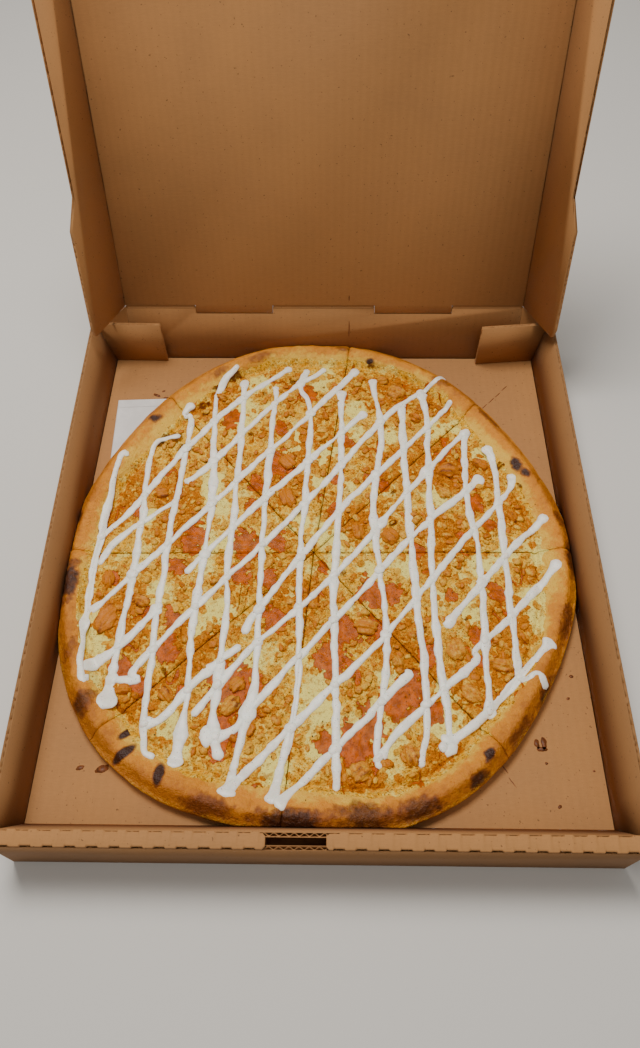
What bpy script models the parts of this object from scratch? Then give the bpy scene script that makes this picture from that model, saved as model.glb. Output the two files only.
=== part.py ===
"""A whole takeaway pizza, cut in eight, in its open corrugated cardboard box.

Frame: metres, +Z up. The origin is at the middle of the tray's footprint, on the table.
+Y points to the hinge of the lid, and the roll-over front wall is at -Y.
"""

import math
import random

import bmesh
import bpy
from mathutils import Matrix, Vector

# The board and the tray
BOARD = 0.003
GAP = 0.0003
FLOOR_WIDTH = 0.406
FLOOR_BACK_Y = 0.2124
WALL_HEIGHT = 0.0567
SIDE_WALL_FRONT_Y = -0.2268
SIDE_WALL_PARTS = 16
LEFT_SPLAY_BACK = 0.0101
LEFT_SPLAY_FRONT = 0.0022
RIGHT_SPLAY_BACK = 0.0071
RIGHT_SPLAY_FRONT = 0.0052

# The roll-over front wall, with its lock slot
FRONT_CREASE_Y = -0.2145
ROLL_BACK_Y = -0.2273
ROLL_FRONT_Y = -0.2378
FRONT_HALF_WIDTH = 0.2062
SLOT_LEFT_X = -0.0322
SLOT_RIGHT_X = 0.0061

# The two dust flaps that fold in from the side walls
DUST_FLAP_HEIGHT = 0.0497
LEFT_FLAP_CORNER = (-0.2030, 0.2094)
LEFT_FLAP_LENGTH = 0.0497
LEFT_FLAP_TURN = math.radians(1.0)
RIGHT_FLAP_CORNER = (0.2030, 0.2100)
RIGHT_FLAP_LENGTH = 0.0550
RIGHT_FLAP_TURN = math.radians(5.0)

# The lid, its hinge crease and its flaps
HINGE_Y = 0.2311
HINGE_Z = 0.0563
LID_LEAN = math.radians(14.7)
LID_HALF_WIDTH = 0.188
LID_LENGTH = 0.438
BACK_WALL_HALF_WIDTH = 0.1873
BACK_WALL_FOOT_Y = 0.2143
BACK_CORNER_HALF_WIDTH = 0.2056
BACK_CORNER_INNER_DROP = 0.0004
BACK_CORNER_OUTER_DROP = 0.0155
CREASE_TIP_GAP = 0.0002
CREASE_INNER_RECESS = 0.0021
CREASE_OUTER_RECESS = 0.0014
TAB_INNER_X = 0.0485
TAB_OUTER_X = 0.1210
TAB_DEPTH = 0.0065
TAB_MARGIN = 0.0005
NOTCH_DEPTH = 0.0075
FLAP_SPLAY = math.radians(22.0)
FLAP_WIDE = 0.051
FLAP_NARROW = 0.0395
FLAP_NOTCH_LOW = 0.098
FLAP_NOTCH_HIGH = 0.123
FLAP_TIP_DROP = 0.005
FLAP_MITRE = 0.0013
FRONT_FLAP_DEPTH = 0.032

# The paper bag that lies flat under the crust
BAG_SIZE = (0.072, 0.092, 0.0008)
BAG_CENTRE = (-0.1565, 0.1140)
BAG_TURN = math.radians(2.5)

# The pizza: outline as a mean radius with waves round it, all about the point where the cuts cross
PIZZA_X = -0.0060
PIZZA_Y = -0.0080
MEAN_RADIUS = 0.2158
OUTLINE_WAVES = (
    (1, 0.0035, math.radians(70)),
    (2, 0.0079, math.radians(165)),
    (3, 0.0043, math.radians(-74)),
    (4, 0.0011, math.radians(81)),
    (5, 0.0017, math.radians(37)),
    (6, 0.0014, math.radians(-33)),
)
CUT_ANGLES_DEG = (0.5, 46.0, 82.0, 130.5, 180.5, 223.8, 264.8, 311.0)
CUT_GAP = 0.0003
WALL_CLEARANCE = 0.0005
PIZZA_UNDERSIDE_Z = BOARD + GAP
BAG_LIFT = 0.0013
BAG_LIFT_MARGIN = 0.008
BAG_LIFT_FADE = 0.012
BAG_LIFT_HEIGHT = 0.005
DOUGH_TOP_Z = 0.0084
CHEESE_BOTTOM_Z = DOUGH_TOP_Z + GAP
CHEESE_TOP_Z = 0.0132
RIM_CREST_Z = 0.0205
RIM_WIDTH = 0.0285
RIM_LEFT_RISE = 0.0010
FOOT_INSET = 0.009
FOOT_RISE = 0.0035
BELLY_INSET = 0.002
BELLY_RISE = 0.0080
SHOULDER_INSET = 0.003
SHOULDER_SHARE = 0.66
CREST_INSET = 0.010
SLOPE_INSET = 0.018
SLOPE_DROP = 0.0018
INNER_FOOT_OUT = 0.0035
INNER_FOOT_RISE = 0.0055
CHEESE_EDGE_SLOPE = 0.0012
CHEESE_EDGE_WIDTH = 0.008
CHEESE_WAVE = 0.0003
COLUMNS_PER_SLICE = 8
CHEESE_COLUMNS = 60

# The drizzle: each stroke runs through its own points, in metres on the cheese
ROPE_RADIUS = 0.0029
ROPE_CENTRE_Z = CHEESE_TOP_Z + 0.0006
ROPE_STEP = 0.016
ROPE_END_MARGIN = 0.006
ROPE_SPACING = 0.0006
PARTS_PER_SPAN = 40
WELD = 0.00001
STROKES = (
    ((-0.171, 0.087), (-0.179, 0.072), (-0.185, -0.034), (-0.179, -0.110), (-0.171, -0.119)),
    ((-0.128, 0.109), (-0.152, 0.097), (-0.152, 0.026), (-0.153, -0.051), (-0.157, -0.140)),
    ((-0.121, 0.146), (-0.127, 0.133), (-0.121, 0.120), (-0.127, -0.002), (-0.127, -0.151),
     (-0.116, -0.174)),
    ((-0.081, 0.189), (-0.099, 0.154), (-0.094, 0.035), (-0.099, -0.061), (-0.098, -0.132),
     (-0.102, -0.180)),
    ((-0.074, 0.176), (-0.074, 0.040), (-0.077, -0.022), (-0.073, -0.059), (-0.077, -0.142),
     (-0.070, -0.174)),
    ((-0.044, 0.168), (-0.049, 0.014), (-0.048, -0.109), (-0.053, -0.146), (-0.064, -0.200)),
    ((-0.015, 0.189), (-0.021, 0.168), (-0.011, 0.128), (-0.017, -0.010), (-0.017, -0.124),
     (-0.032, -0.204)),
    ((0.017, 0.163), (0.017, 0.088), (0.011, -0.031), (0.011, -0.087), (0.013, -0.194)),
    ((0.046, 0.177), (0.053, 0.113), (0.044, 0.034), (0.051, -0.080), (0.042, -0.155), (0.042, -0.179)),
    ((0.073, 0.144), (0.073, 0.029), (0.079, -0.124), (0.072, -0.178)),
    ((0.091, 0.161), (0.095, 0.129), (0.092, 0.034), (0.090, -0.073), (0.094, -0.155), (0.089, -0.163)),
    ((0.129, 0.119), (0.124, 0.051), (0.129, -0.013), (0.124, -0.143)),
    ((0.146, 0.100), (0.151, 0.067), (0.149, -0.079), (0.151, -0.113), (0.162, -0.112), (0.167, -0.122)),
    ((-0.184, 0.006), (-0.162, 0.031), (-0.124, 0.092), (-0.082, 0.146), (-0.030, 0.191)),
    ((-0.119, 0.058), (-0.101, 0.077), (-0.036, 0.157), (0.003, 0.189)),
    ((-0.181, -0.021), (-0.168, 0.004), (-0.126, 0.039)),
    ((-0.182, -0.063), (-0.148, -0.025), (-0.064, 0.073), (-0.004, 0.144), (0.033, 0.189)),
    ((-0.180, -0.110), (-0.156, -0.092), (-0.127, -0.056)),
    ((-0.110, -0.028), (-0.062, 0.029), (0.040, 0.138)),
    ((-0.155, -0.116), (-0.136, -0.116), (-0.139, -0.107), (-0.102, -0.061), (-0.014, 0.039),
     (0.060, 0.134), (0.115, 0.176)),
    ((-0.059, -0.080), (-0.046, -0.055), (0.020, 0.038), (0.077, 0.100), (0.119, 0.148)),
    ((-0.128, -0.149), (-0.114, -0.145), (-0.097, -0.122), (-0.061, -0.088)),
    ((-0.093, -0.143), (-0.058, -0.097), (-0.005, -0.045), (0.037, 0.003), (0.090, 0.071), (0.130, 0.116)),
    ((-0.086, -0.159), (-0.064, -0.154), (-0.041, -0.126), (0.023, -0.053), (0.076, 0.008),
     (0.140, 0.067)),
    ((-0.064, -0.196), (0.003, -0.127), (0.052, -0.078), (0.114, -0.001), (0.158, 0.049), (0.165, 0.069)),
    ((-0.029, -0.206), (0.051, -0.126), (0.069, -0.107)),
    ((0.097, -0.073), (0.147, -0.014), (0.188, 0.026)),
    ((0.043, -0.171), (0.064, -0.146), (0.115, -0.102), (0.119, -0.090), (0.147, -0.065),
     (0.193, -0.018)),
    ((0.089, -0.163), (0.121, -0.140), (0.177, -0.084)),
)

# The larger chicken pieces, near these places where the real pizza carries its clusters
CHICKEN_SEED = 23
CHICKEN_MOST_HALF_LENGTH = 0.0115
CHICKEN_LEAST_HALF_LENGTHS = (0.0085, 0.0070, 0.0058)
CHICKEN_SPIRAL = 0.0034
CHICKEN_TRIES = 90
CHICKEN_EDGE_MARGIN = 0.003
CHICKEN_GAP = 0.0006
CHICKEN_LUMPS = 7
CHICKEN_HALF_HEIGHT = 0.0042
CHICKEN_NODES = 27
CHICKEN_PLACES = (
    (-0.166, 0.053), (-0.183, 0.021), (-0.106, 0.156), (0.069, 0.165), (0.109, 0.151),
    (0.110, 0.073), (0.073, 0.073), (0.034, 0.020), (0.167, 0.028), (0.032, -0.188),
    (0.100, -0.122), (0.134, -0.114), (0.061, -0.088), (0.089, -0.172), (-0.158, -0.061),
    (-0.143, -0.132), (-0.068, -0.146), (-0.040, 0.060),
)

SLICES = len(CUT_ANGLES_DEG)
NEARLY_PARALLEL = 0.1
FULL_TURN = 2 * math.pi


def clear_scene():
    for obj in list(bpy.data.objects):
        bpy.data.objects.remove(obj, do_unlink=True)


def new_collection(name):
    collection = bpy.data.collections.new(name)
    bpy.context.scene.collection.children.link(collection)
    return collection


def material(name, colour, roughness):
    made = bpy.data.materials.new(name)
    made.use_nodes = True
    shader = made.node_tree.nodes["Principled BSDF"]
    shader.inputs["Base Color"].default_value = (*colour, 1.0)
    shader.inputs["Roughness"].default_value = roughness
    shader.inputs["Metallic"].default_value = 0.0
    return made


def add_object(name, mesh, made_of, collection, parent=None):
    """Link a mesh as a named object with its own material."""
    obj = bpy.data.objects.new(name, mesh)
    if made_of is not None:
        mesh.materials.clear()
        mesh.materials.append(made_of)
    obj.parent = parent
    collection.objects.link(obj)
    return obj


def mesh_from(bm, name):
    """Turn a bmesh into a mesh datablock with its faces pointing out."""
    bm.normal_update()
    bmesh.ops.recalc_face_normals(bm, faces=bm.faces)
    mesh = bpy.data.meshes.new(name)
    bm.to_mesh(mesh)
    bm.free()
    return mesh


def slab_mesh(name, low, high):
    """An upright box between two opposite corners."""
    bm = bmesh.new()
    bmesh.ops.create_cube(bm, size=1.0)
    centre = (Vector(low) + Vector(high)) / 2
    size = Vector(high) - Vector(low)
    bmesh.ops.scale(bm, vec=size, verts=bm.verts)
    bmesh.ops.translate(bm, vec=centre, verts=bm.verts)
    return mesh_from(bm, name)


def prism_mesh(name, profile, low_x, high_x):
    """A profile in the YZ plane, extruded along X."""
    bm = bmesh.new()
    ring = [bm.verts.new((low_x, y, z)) for y, z in profile]
    face = bm.faces.new(ring)
    swept = bmesh.ops.extrude_face_region(bm, geom=[face])
    moved = [item for item in swept["geom"] if isinstance(item, bmesh.types.BMVert)]
    bmesh.ops.translate(bm, vec=(high_x - low_x, 0, 0), verts=moved)
    return mesh_from(bm, name)


def apply_boolean(obj, operation, cutters, solver="EXACT"):
    """Run one Boolean over a collection of helpers, keep its result and remove the helpers."""
    helpers = new_collection(obj.name + "_helpers")
    for index, mesh in enumerate(cutters):
        helper = add_object(f"{obj.name}_helper_{index}", mesh, None, helpers)
        helper.matrix_world = obj.matrix_world
        helper.hide_render = True
        helper.display_type = "WIRE"
    bpy.context.view_layer.update()
    modifier = obj.modifiers.new("Join", "BOOLEAN")
    modifier.operation = operation
    modifier.operand_type = "COLLECTION"
    modifier.collection = helpers
    modifier.solver = solver
    graph = bpy.context.evaluated_depsgraph_get()
    result = bpy.data.meshes.new_from_object(obj.evaluated_get(graph))
    obj.modifiers.clear()
    obj.data = result
    for helper in list(helpers.objects):
        bpy.data.objects.remove(helper, do_unlink=True)
    bpy.data.collections.remove(helpers)


def shells_of(bm):
    """The mesh's separate shells, each as a list of faces."""
    waiting = set(bm.faces)
    shells = []
    while waiting:
        shell = [waiting.pop()]
        for face in shell:
            for edge in face.edges:
                for neighbour in edge.link_faces:
                    if neighbour in waiting:
                        waiting.discard(neighbour)
                        shell.append(neighbour)
        shells.append(shell)
    return shells


def keep_largest_shell(obj):
    """Fill sealed hollows and drop loose scraps: only the shell with the most faces stays."""
    bm = bmesh.new()
    bm.from_mesh(obj.data)
    shells = sorted(shells_of(bm), key=len)
    loose = [face for shell in shells[:-1] for face in shell]
    bmesh.ops.delete(bm, geom=loose, context="FACES")
    bm.to_mesh(obj.data)
    bm.free()


# The cardboard tray

def splay(side, y):
    """How far the top of a side wall leans out, at this place along it."""
    share = (y - SIDE_WALL_FRONT_Y) / (FLOOR_BACK_Y - SIDE_WALL_FRONT_Y)
    if side < 0:
        return LEFT_SPLAY_FRONT + share * (LEFT_SPLAY_BACK - LEFT_SPLAY_FRONT)
    return RIGHT_SPLAY_FRONT + share * (RIGHT_SPLAY_BACK - RIGHT_SPLAY_FRONT)


def build_floor(board, collection):
    low = (-FLOOR_WIDTH / 2, ROLL_FRONT_Y + BOARD + GAP, 0)
    high = (FLOOR_WIDTH / 2, FLOOR_BACK_Y, BOARD)
    add_object("tray_floor", slab_mesh("tray_floor", low, high), board, collection)


def build_side_wall(name, side, board, collection):
    """A board along the side, in short lengths, as its top edge leans out more at the back than in front."""
    bm = bmesh.new()
    inner_x = FLOOR_WIDTH / 2 + GAP
    rings = []
    for part in range(SIDE_WALL_PARTS + 1):
        y = SIDE_WALL_FRONT_Y + (FLOOR_BACK_Y - SIDE_WALL_FRONT_Y) * part / SIDE_WALL_PARTS
        top_x = inner_x + splay(side, y)
        section = ((inner_x, 0), (inner_x + BOARD, 0), (top_x + BOARD, WALL_HEIGHT), (top_x, WALL_HEIGHT))
        rings.append([bm.verts.new((side * x, y, z)) for x, z in section])
    for near, far in zip(rings, rings[1:]):
        for start in range(4):
            end = (start + 1) % 4
            bm.faces.new((near[start], near[end], far[end], far[start]))
    bm.faces.new(rings[0])
    bm.faces.new(rings[-1])
    add_object(name, mesh_from(bm, name), board, collection)


def build_back_wall(board, collection):
    """The hinge wall leans back with the open lid. Notches in its top free the lid's two tabs."""
    foot = Vector((0, BACK_WALL_FOOT_Y, 0))
    axis = Vector((0, HINGE_Y, HINGE_Z))
    up = (axis - foot).normalized()
    out = Vector((0, up.z, -up.y))
    half = BOARD / 2
    foot_half = half / up.z
    profile = (
        (foot.y - foot_half, 0),
        (foot.y + foot_half, 0),
        (axis - up * CREASE_OUTER_RECESS + out * half).yz,
        (axis - up * CREASE_TIP_GAP).yz,
        (axis - up * CREASE_INNER_RECESS - out * half).yz,
    )
    mesh = prism_mesh("wall_back", profile, -BACK_WALL_HALF_WIDTH, BACK_WALL_HALF_WIDTH)
    wall = add_object("wall_back", mesh, board, collection)
    notches = []
    past = 3 * BOARD
    section = ((past, -past), (past, past), (-NOTCH_DEPTH, past), (-NOTCH_DEPTH, -past))
    corners = [(axis + up * rise + out * across).yz for rise, across in section]
    for side in (-1, 1):
        low_x, high_x = sorted((side * (TAB_INNER_X - TAB_MARGIN), side * (TAB_OUTER_X + TAB_MARGIN)))
        notches.append(prism_mesh("notch", corners, low_x, high_x))
    apply_boolean(wall, "DIFFERENCE", notches)


def build_back_corners(board, collection):
    """The hinge wall's ends beyond the crease, slanted to lie under the open lid's flaps."""
    foot = Vector((0, BACK_WALL_FOOT_Y, 0))
    axis = Vector((0, HINGE_Y, HINGE_Z))
    up = (axis - foot).normalized()
    out = Vector((0, up.z, -up.y))
    half = BOARD / 2
    inner_x = BACK_WALL_HALF_WIDTH + GAP
    outer_x = BACK_CORNER_HALF_WIDTH
    for name, side in (("back_corner_left", -1), ("back_corner_right", 1)):
        bm = bmesh.new()
        rings = []
        for across in (-half, half):
            low_y = foot.y + across / up.z
            inner_top = axis - up * BACK_CORNER_INNER_DROP + out * across
            outer_top = axis - up * BACK_CORNER_OUTER_DROP + out * across
            places = (
                (side * inner_x, low_y, 0),
                (side * outer_x, low_y, 0),
                (side * outer_x, outer_top.y, outer_top.z),
                (side * inner_x, inner_top.y, inner_top.z),
            )
            rings.append([bm.verts.new(place) for place in places])
        front, back = rings
        bm.faces.new(front)
        bm.faces.new(back)
        for start in range(4):
            end = (start + 1) % 4
            bm.faces.new((front[start], front[end], back[end], back[start]))
        add_object(name, mesh_from(bm, name), board, collection)


def build_front_wall(board, collection):
    """Outer panel, two lengths of roll top beside the lock slot, and the inner panel that slopes in."""
    outer_back_y = ROLL_FRONT_Y + BOARD
    below_roll = WALL_HEIGHT - BOARD - GAP
    low = (-FRONT_HALF_WIDTH, ROLL_FRONT_Y, 0)
    high = (FRONT_HALF_WIDTH, outer_back_y, below_roll)
    add_object("front_outer", slab_mesh("front_outer", low, high), board, collection)
    for name, low_x, high_x in (
        ("front_roll_left", -FRONT_HALF_WIDTH, SLOT_LEFT_X),
        ("front_roll_right", SLOT_RIGHT_X, FRONT_HALF_WIDTH),
    ):
        low = (low_x, ROLL_FRONT_Y, WALL_HEIGHT - BOARD)
        high = (high_x, ROLL_BACK_Y, WALL_HEIGHT)
        add_object(name, slab_mesh(name, low, high), board, collection)
    profile = (
        (FRONT_CREASE_Y, BOARD + GAP),
        (FRONT_CREASE_Y - BOARD, BOARD + GAP),
        (ROLL_BACK_Y - BOARD, below_roll),
        (ROLL_BACK_Y, below_roll),
    )
    half_width = FLOOR_WIDTH / 2 - GAP
    inner = prism_mesh("front_inner", profile, -half_width, half_width)
    add_object("front_inner", inner, board, collection)


def build_dust_flaps(board, collection):
    """Two flaps standing before the hinge wall. Their folds lean out with the side walls that they join."""
    for name, corner, length, turn, side in (
        ("dust_flap_left", LEFT_FLAP_CORNER, LEFT_FLAP_LENGTH, LEFT_FLAP_TURN, -1),
        ("dust_flap_right", RIGHT_FLAP_CORNER, RIGHT_FLAP_LENGTH, RIGHT_FLAP_TURN, 1),
    ):
        low_x, high_x = sorted((0, -side * length))
        mesh = slab_mesh(name, (low_x, 0, 0), (high_x, BOARD, DUST_FLAP_HEIGHT))
        for vert in mesh.vertices:
            if abs(vert.co.x) < GAP:
                height = vert.co.z + BOARD + GAP
                vert.co.x += side * splay(side, corner[1]) * height / WALL_HEIGHT
        flap = add_object(name, mesh, board, collection)
        flap.location = (*corner, BOARD + GAP)
        flap.rotation_euler = (0, 0, side * turn)


def build_paper_bag(paper, collection):
    half_x, half_y, thick = BAG_SIZE[0] / 2, BAG_SIZE[1] / 2, BAG_SIZE[2]
    mesh = slab_mesh("paper_bag", (-half_x, -half_y, 0), (half_x, half_y, thick))
    bag = add_object("paper_bag", mesh, paper, collection)
    bag.location = (*BAG_CENTRE, BOARD + GAP)
    bag.rotation_euler = (0, 0, BAG_TURN)


# The lid, in its own frame: Z runs up the lid from the hinge crease and +Y is its outer side

def build_lid_panel(board, collection, hinge):
    """The top panel, pointed at the hinge crease so that it can fold both ways, with two tabs below it."""
    half = BOARD / 2
    profile = (
        (-half, CREASE_INNER_RECESS),
        (0, CREASE_TIP_GAP),
        (half, CREASE_OUTER_RECESS),
        (half, LID_LENGTH),
        (-half, LID_LENGTH),
    )
    mesh = prism_mesh("lid_panel", profile, -LID_HALF_WIDTH, LID_HALF_WIDTH)
    for vert in mesh.vertices:
        mitre = FLAP_MITRE * (vert.co.y + half) / BOARD
        vert.co.x = math.copysign(abs(vert.co.x) - GAP / 2 + mitre, vert.co.x)
    panel = add_object("lid_panel", mesh, board, collection, hinge)
    tabs = []
    for side in (-1, 1):
        low_x, high_x = sorted((side * TAB_INNER_X, side * TAB_OUTER_X))
        tabs.append(slab_mesh("tab", (low_x, -half, -TAB_DEPTH), (high_x, half, 2 * CREASE_INNER_RECESS)))
    bpy.context.view_layer.update()
    apply_boolean(panel, "UNION", tabs)


def build_lid_flap(name, side, board, collection, hinge):
    """A side flap whose X runs away from its crease: wide near the hinge, with a slanted lower end."""
    crease = bpy.data.objects.new(name + "_crease", None)
    crease.parent = hinge
    crease.location = (side * LID_HALF_WIDTH, -BOARD / 2, 0)
    crease.rotation_euler = (0, 0, -math.pi / 2 + side * FLAP_SPLAY)
    collection.objects.link(crease)
    start = GAP / 2
    outline = (
        (start, 2 * GAP),
        (FLAP_WIDE - BOARD, -FLAP_TIP_DROP),
        (FLAP_WIDE, BOARD),
        (FLAP_WIDE, FLAP_NOTCH_LOW),
        (FLAP_NARROW, FLAP_NOTCH_HIGH),
        (FLAP_NARROW, LID_LENGTH - BOARD),
        (start, LID_LENGTH - BOARD),
    )
    bm = bmesh.new()
    ring = [bm.verts.new((w, 0, s)) for w, s in outline]
    face = bm.faces.new(ring)
    swept = bmesh.ops.extrude_face_region(bm, geom=[face])
    moved = [item for item in swept["geom"] if isinstance(item, bmesh.types.BMVert)]
    bmesh.ops.translate(bm, vec=(0, side * BOARD, 0), verts=moved)
    for vert in moved:
        if vert.co.x < 2 * start:
            vert.co.x -= FLAP_MITRE
    add_object(name, mesh_from(bm, name), board, collection, crease)


def build_lid_front_flap(board, collection, hinge):
    """The flap along the lid's free edge. It drops inside the front wall when the lid is shut."""
    half_width = LID_HALF_WIDTH - BOARD
    low = (-half_width, -BOARD / 2 - FRONT_FLAP_DEPTH, LID_LENGTH - BOARD)
    high = (half_width, -BOARD / 2 - GAP, LID_LENGTH)
    add_object("lid_front_flap", slab_mesh("lid_front_flap", low, high), board, collection, hinge)


def build_lid(board, collection):
    hinge = bpy.data.objects.new("lid_hinge", None)
    hinge.location = (0, HINGE_Y, HINGE_Z)
    hinge.rotation_euler = (-LID_LEAN, 0, 0)
    collection.objects.link(hinge)
    bpy.context.view_layer.update()
    build_lid_panel(board, collection, hinge)
    build_lid_flap("lid_flap_left", -1, board, collection, hinge)
    build_lid_flap("lid_flap_right", 1, board, collection, hinge)
    build_lid_front_flap(board, collection, hinge)


# The pizza

def outline_radius(angle):
    """Distance from the crossing of the cuts to the crust's edge, before the tray's walls hold it in."""
    return MEAN_RADIUS + sum(size * math.cos(n * angle - phase) for n, size, phase in OUTLINE_WAVES)


def room_to_walls(apex, angle, z):
    """How far a ray can go at this height before it meets a leaning side, hinge or front wall."""
    along_x, along_y = math.cos(angle), math.sin(angle)
    rise = max(z, 0) / WALL_HEIGHT
    height = max(z - BOARD, 0)
    slope = (ROLL_BACK_Y - FRONT_CREASE_Y) / (WALL_HEIGHT - 2 * BOARD)
    lean = (HINGE_Y - BACK_WALL_FOOT_Y) / HINGE_Z
    y = apex[1] + MEAN_RADIUS * along_y
    side = math.copysign(1, along_x)
    wall_x = side * (FLOOR_WIDTH / 2 + splay(side, y) * rise - WALL_CLEARANCE)
    if along_y > 0:
        wall_y = BACK_WALL_FOOT_Y + lean * z - BOARD / 2 - 2 * WALL_CLEARANCE
    else:
        wall_y = FRONT_CREASE_Y + slope * height + WALL_CLEARANCE
    rooms = []
    if abs(along_x) > NEARLY_PARALLEL:
        rooms.append((wall_x - apex[0]) / along_x)
    if abs(along_y) > NEARLY_PARALLEL:
        rooms.append((wall_y - apex[1]) / along_y)
    return min(rooms)


def bag_lift(x, y):
    """The crust rides over the paper bag: one over its footprint, fading to nothing beside it."""
    half_x = BAG_SIZE[0] / 2 + BAG_LIFT_MARGIN
    half_y = BAG_SIZE[1] / 2 + BAG_LIFT_MARGIN
    beside_x = max(abs(x - BAG_CENTRE[0]) - half_x, 0)
    beside_y = max(abs(y - BAG_CENTRE[1]) - half_y, 0)
    return BAG_LIFT * max(0, 1 - math.hypot(beside_x, beside_y) / BAG_LIFT_FADE)


def rim_crest(angle):
    """Height of the crust's crest: bumpy, and taller where it is pressed against the left wall."""
    bumps = 0.0011 * math.sin(7 * angle + 1.0) + 0.0008 * math.sin(13 * angle + 2.4)
    pressed = RIM_LEFT_RISE * max(0, -math.cos(angle)) ** 4
    return RIM_CREST_Z + bumps + pressed


def rim_width(angle):
    return RIM_WIDTH + 0.003 * math.sin(3 * angle + 0.6) + 0.002 * math.sin(8 * angle + 1.9)


def dough_profile(angle):
    """Section from the underside, round the crust and back in along the top, as (radius, z)."""
    edge = outline_radius(angle)
    crest = rim_crest(angle)
    inner = edge - rim_width(angle)
    shoulder = PIZZA_UNDERSIDE_Z + SHOULDER_SHARE * (crest - PIZZA_UNDERSIDE_Z)
    return (
        (0.5 * edge, PIZZA_UNDERSIDE_Z),
        (edge - 2 * RIM_WIDTH, PIZZA_UNDERSIDE_Z),
        (edge - RIM_WIDTH, PIZZA_UNDERSIDE_Z),
        (edge - FOOT_INSET, PIZZA_UNDERSIDE_Z),
        (edge - BELLY_INSET, PIZZA_UNDERSIDE_Z + FOOT_RISE),
        (edge, PIZZA_UNDERSIDE_Z + BELLY_RISE),
        (edge - SHOULDER_INSET, shoulder),
        (edge - CREST_INSET, crest),
        (edge - SLOPE_INSET, crest - SLOPE_DROP),
        (inner + INNER_FOOT_OUT, DOUGH_TOP_Z + INNER_FOOT_RISE),
        (inner, DOUGH_TOP_Z),
        (0.5 * edge, DOUGH_TOP_Z),
    )


def place(apex, angle, radius, z):
    """A point at this height, this far out or as far as the walls let it, and lifted over the bag."""
    radius = min(radius, room_to_walls(apex, angle, z))
    x = apex[0] + radius * math.cos(angle)
    y = apex[1] + radius * math.sin(angle)
    share = max(0, 1 - (z - PIZZA_UNDERSIDE_Z) / BAG_LIFT_HEIGHT)
    return x, y, z + bag_lift(x, y) * share


def slice_angles(index):
    """First and last angle of a slice, anticlockwise."""
    first = math.radians(CUT_ANGLES_DEG[index])
    last = math.radians(CUT_ANGLES_DEG[(index + 1) % SLICES])
    return first, last if last > first else last + FULL_TURN


def slice_apex(index):
    """The slice's point, moved out so that a cut of even width parts it from its neighbours."""
    first, last = slice_angles(index)
    middle = (first + last) / 2
    away = CUT_GAP / 2 / math.sin((last - first) / 2)
    return PIZZA_X + away * math.cos(middle), PIZZA_Y + away * math.sin(middle)


def build_dough_slice(index, dough, collection):
    """Sections side by side from one cut to the next, closed by a flat face at each cut."""
    first, last = slice_angles(index)
    apex = slice_apex(index)
    bm = bmesh.new()
    bottom_tip = bm.verts.new((*apex, PIZZA_UNDERSIDE_Z))
    top_tip = bm.verts.new((*apex, DOUGH_TOP_Z))
    columns = []
    for step in range(COLUMNS_PER_SLICE + 1):
        angle = first + (last - first) * step / COLUMNS_PER_SLICE
        ring = [bm.verts.new(place(apex, angle, radius, z)) for radius, z in dough_profile(angle)]
        columns.append([bottom_tip, *ring, top_tip])
    for here, there in zip(columns, columns[1:]):
        for low in range(len(here) - 1):
            corners = [here[low], there[low], there[low + 1], here[low + 1]]
            bm.faces.new(list(dict.fromkeys(corners)))
    bm.faces.new(columns[0])
    bm.faces.new(columns[-1])
    bmesh.ops.triangulate(bm, faces=[face for face in bm.faces if len(face.verts) > 4])
    add_object(f"dough_{index + 1}", mesh_from(bm, f"dough_{index + 1}"), dough, collection)


def cheese_edge(angle):
    """Where the cheese ends, just inside the crust's inner foot."""
    return outline_radius(angle) - rim_width(angle) - GAP


def cheese_mesh():
    """The whole cheese layer as one low disc with a sloping edge."""
    bm = bmesh.new()
    top_tip = bm.verts.new((PIZZA_X, PIZZA_Y, CHEESE_TOP_Z))
    columns = []
    for step in range(CHEESE_COLUMNS):
        angle = FULL_TURN * step / CHEESE_COLUMNS
        edge = cheese_edge(angle)
        section = (
            (0.40 * edge, CHEESE_TOP_Z + CHEESE_WAVE * math.sin(3 * angle)),
            (0.72 * edge, CHEESE_TOP_Z + CHEESE_WAVE * math.sin(5 * angle + 1)),
            (edge - CHEESE_EDGE_WIDTH, CHEESE_TOP_Z),
            (edge - CHEESE_EDGE_SLOPE, CHEESE_TOP_Z - CHEESE_EDGE_SLOPE),
            (edge - CHEESE_EDGE_SLOPE, CHEESE_BOTTOM_Z),
        )
        column = []
        for radius, z in section:
            x = PIZZA_X + radius * math.cos(angle)
            y = PIZZA_Y + radius * math.sin(angle)
            column.append(bm.verts.new((x, y, z)))
        columns.append(column)
    for here, there in zip(columns, columns[1:] + columns[:1]):
        bm.faces.new((top_tip, here[0], there[0]))
        for low in range(len(here) - 1):
            bm.faces.new((here[low], here[low + 1], there[low + 1], there[low]))
    bm.faces.new([column[-1] for column in columns])
    return mesh_from(bm, "cheese")


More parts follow.
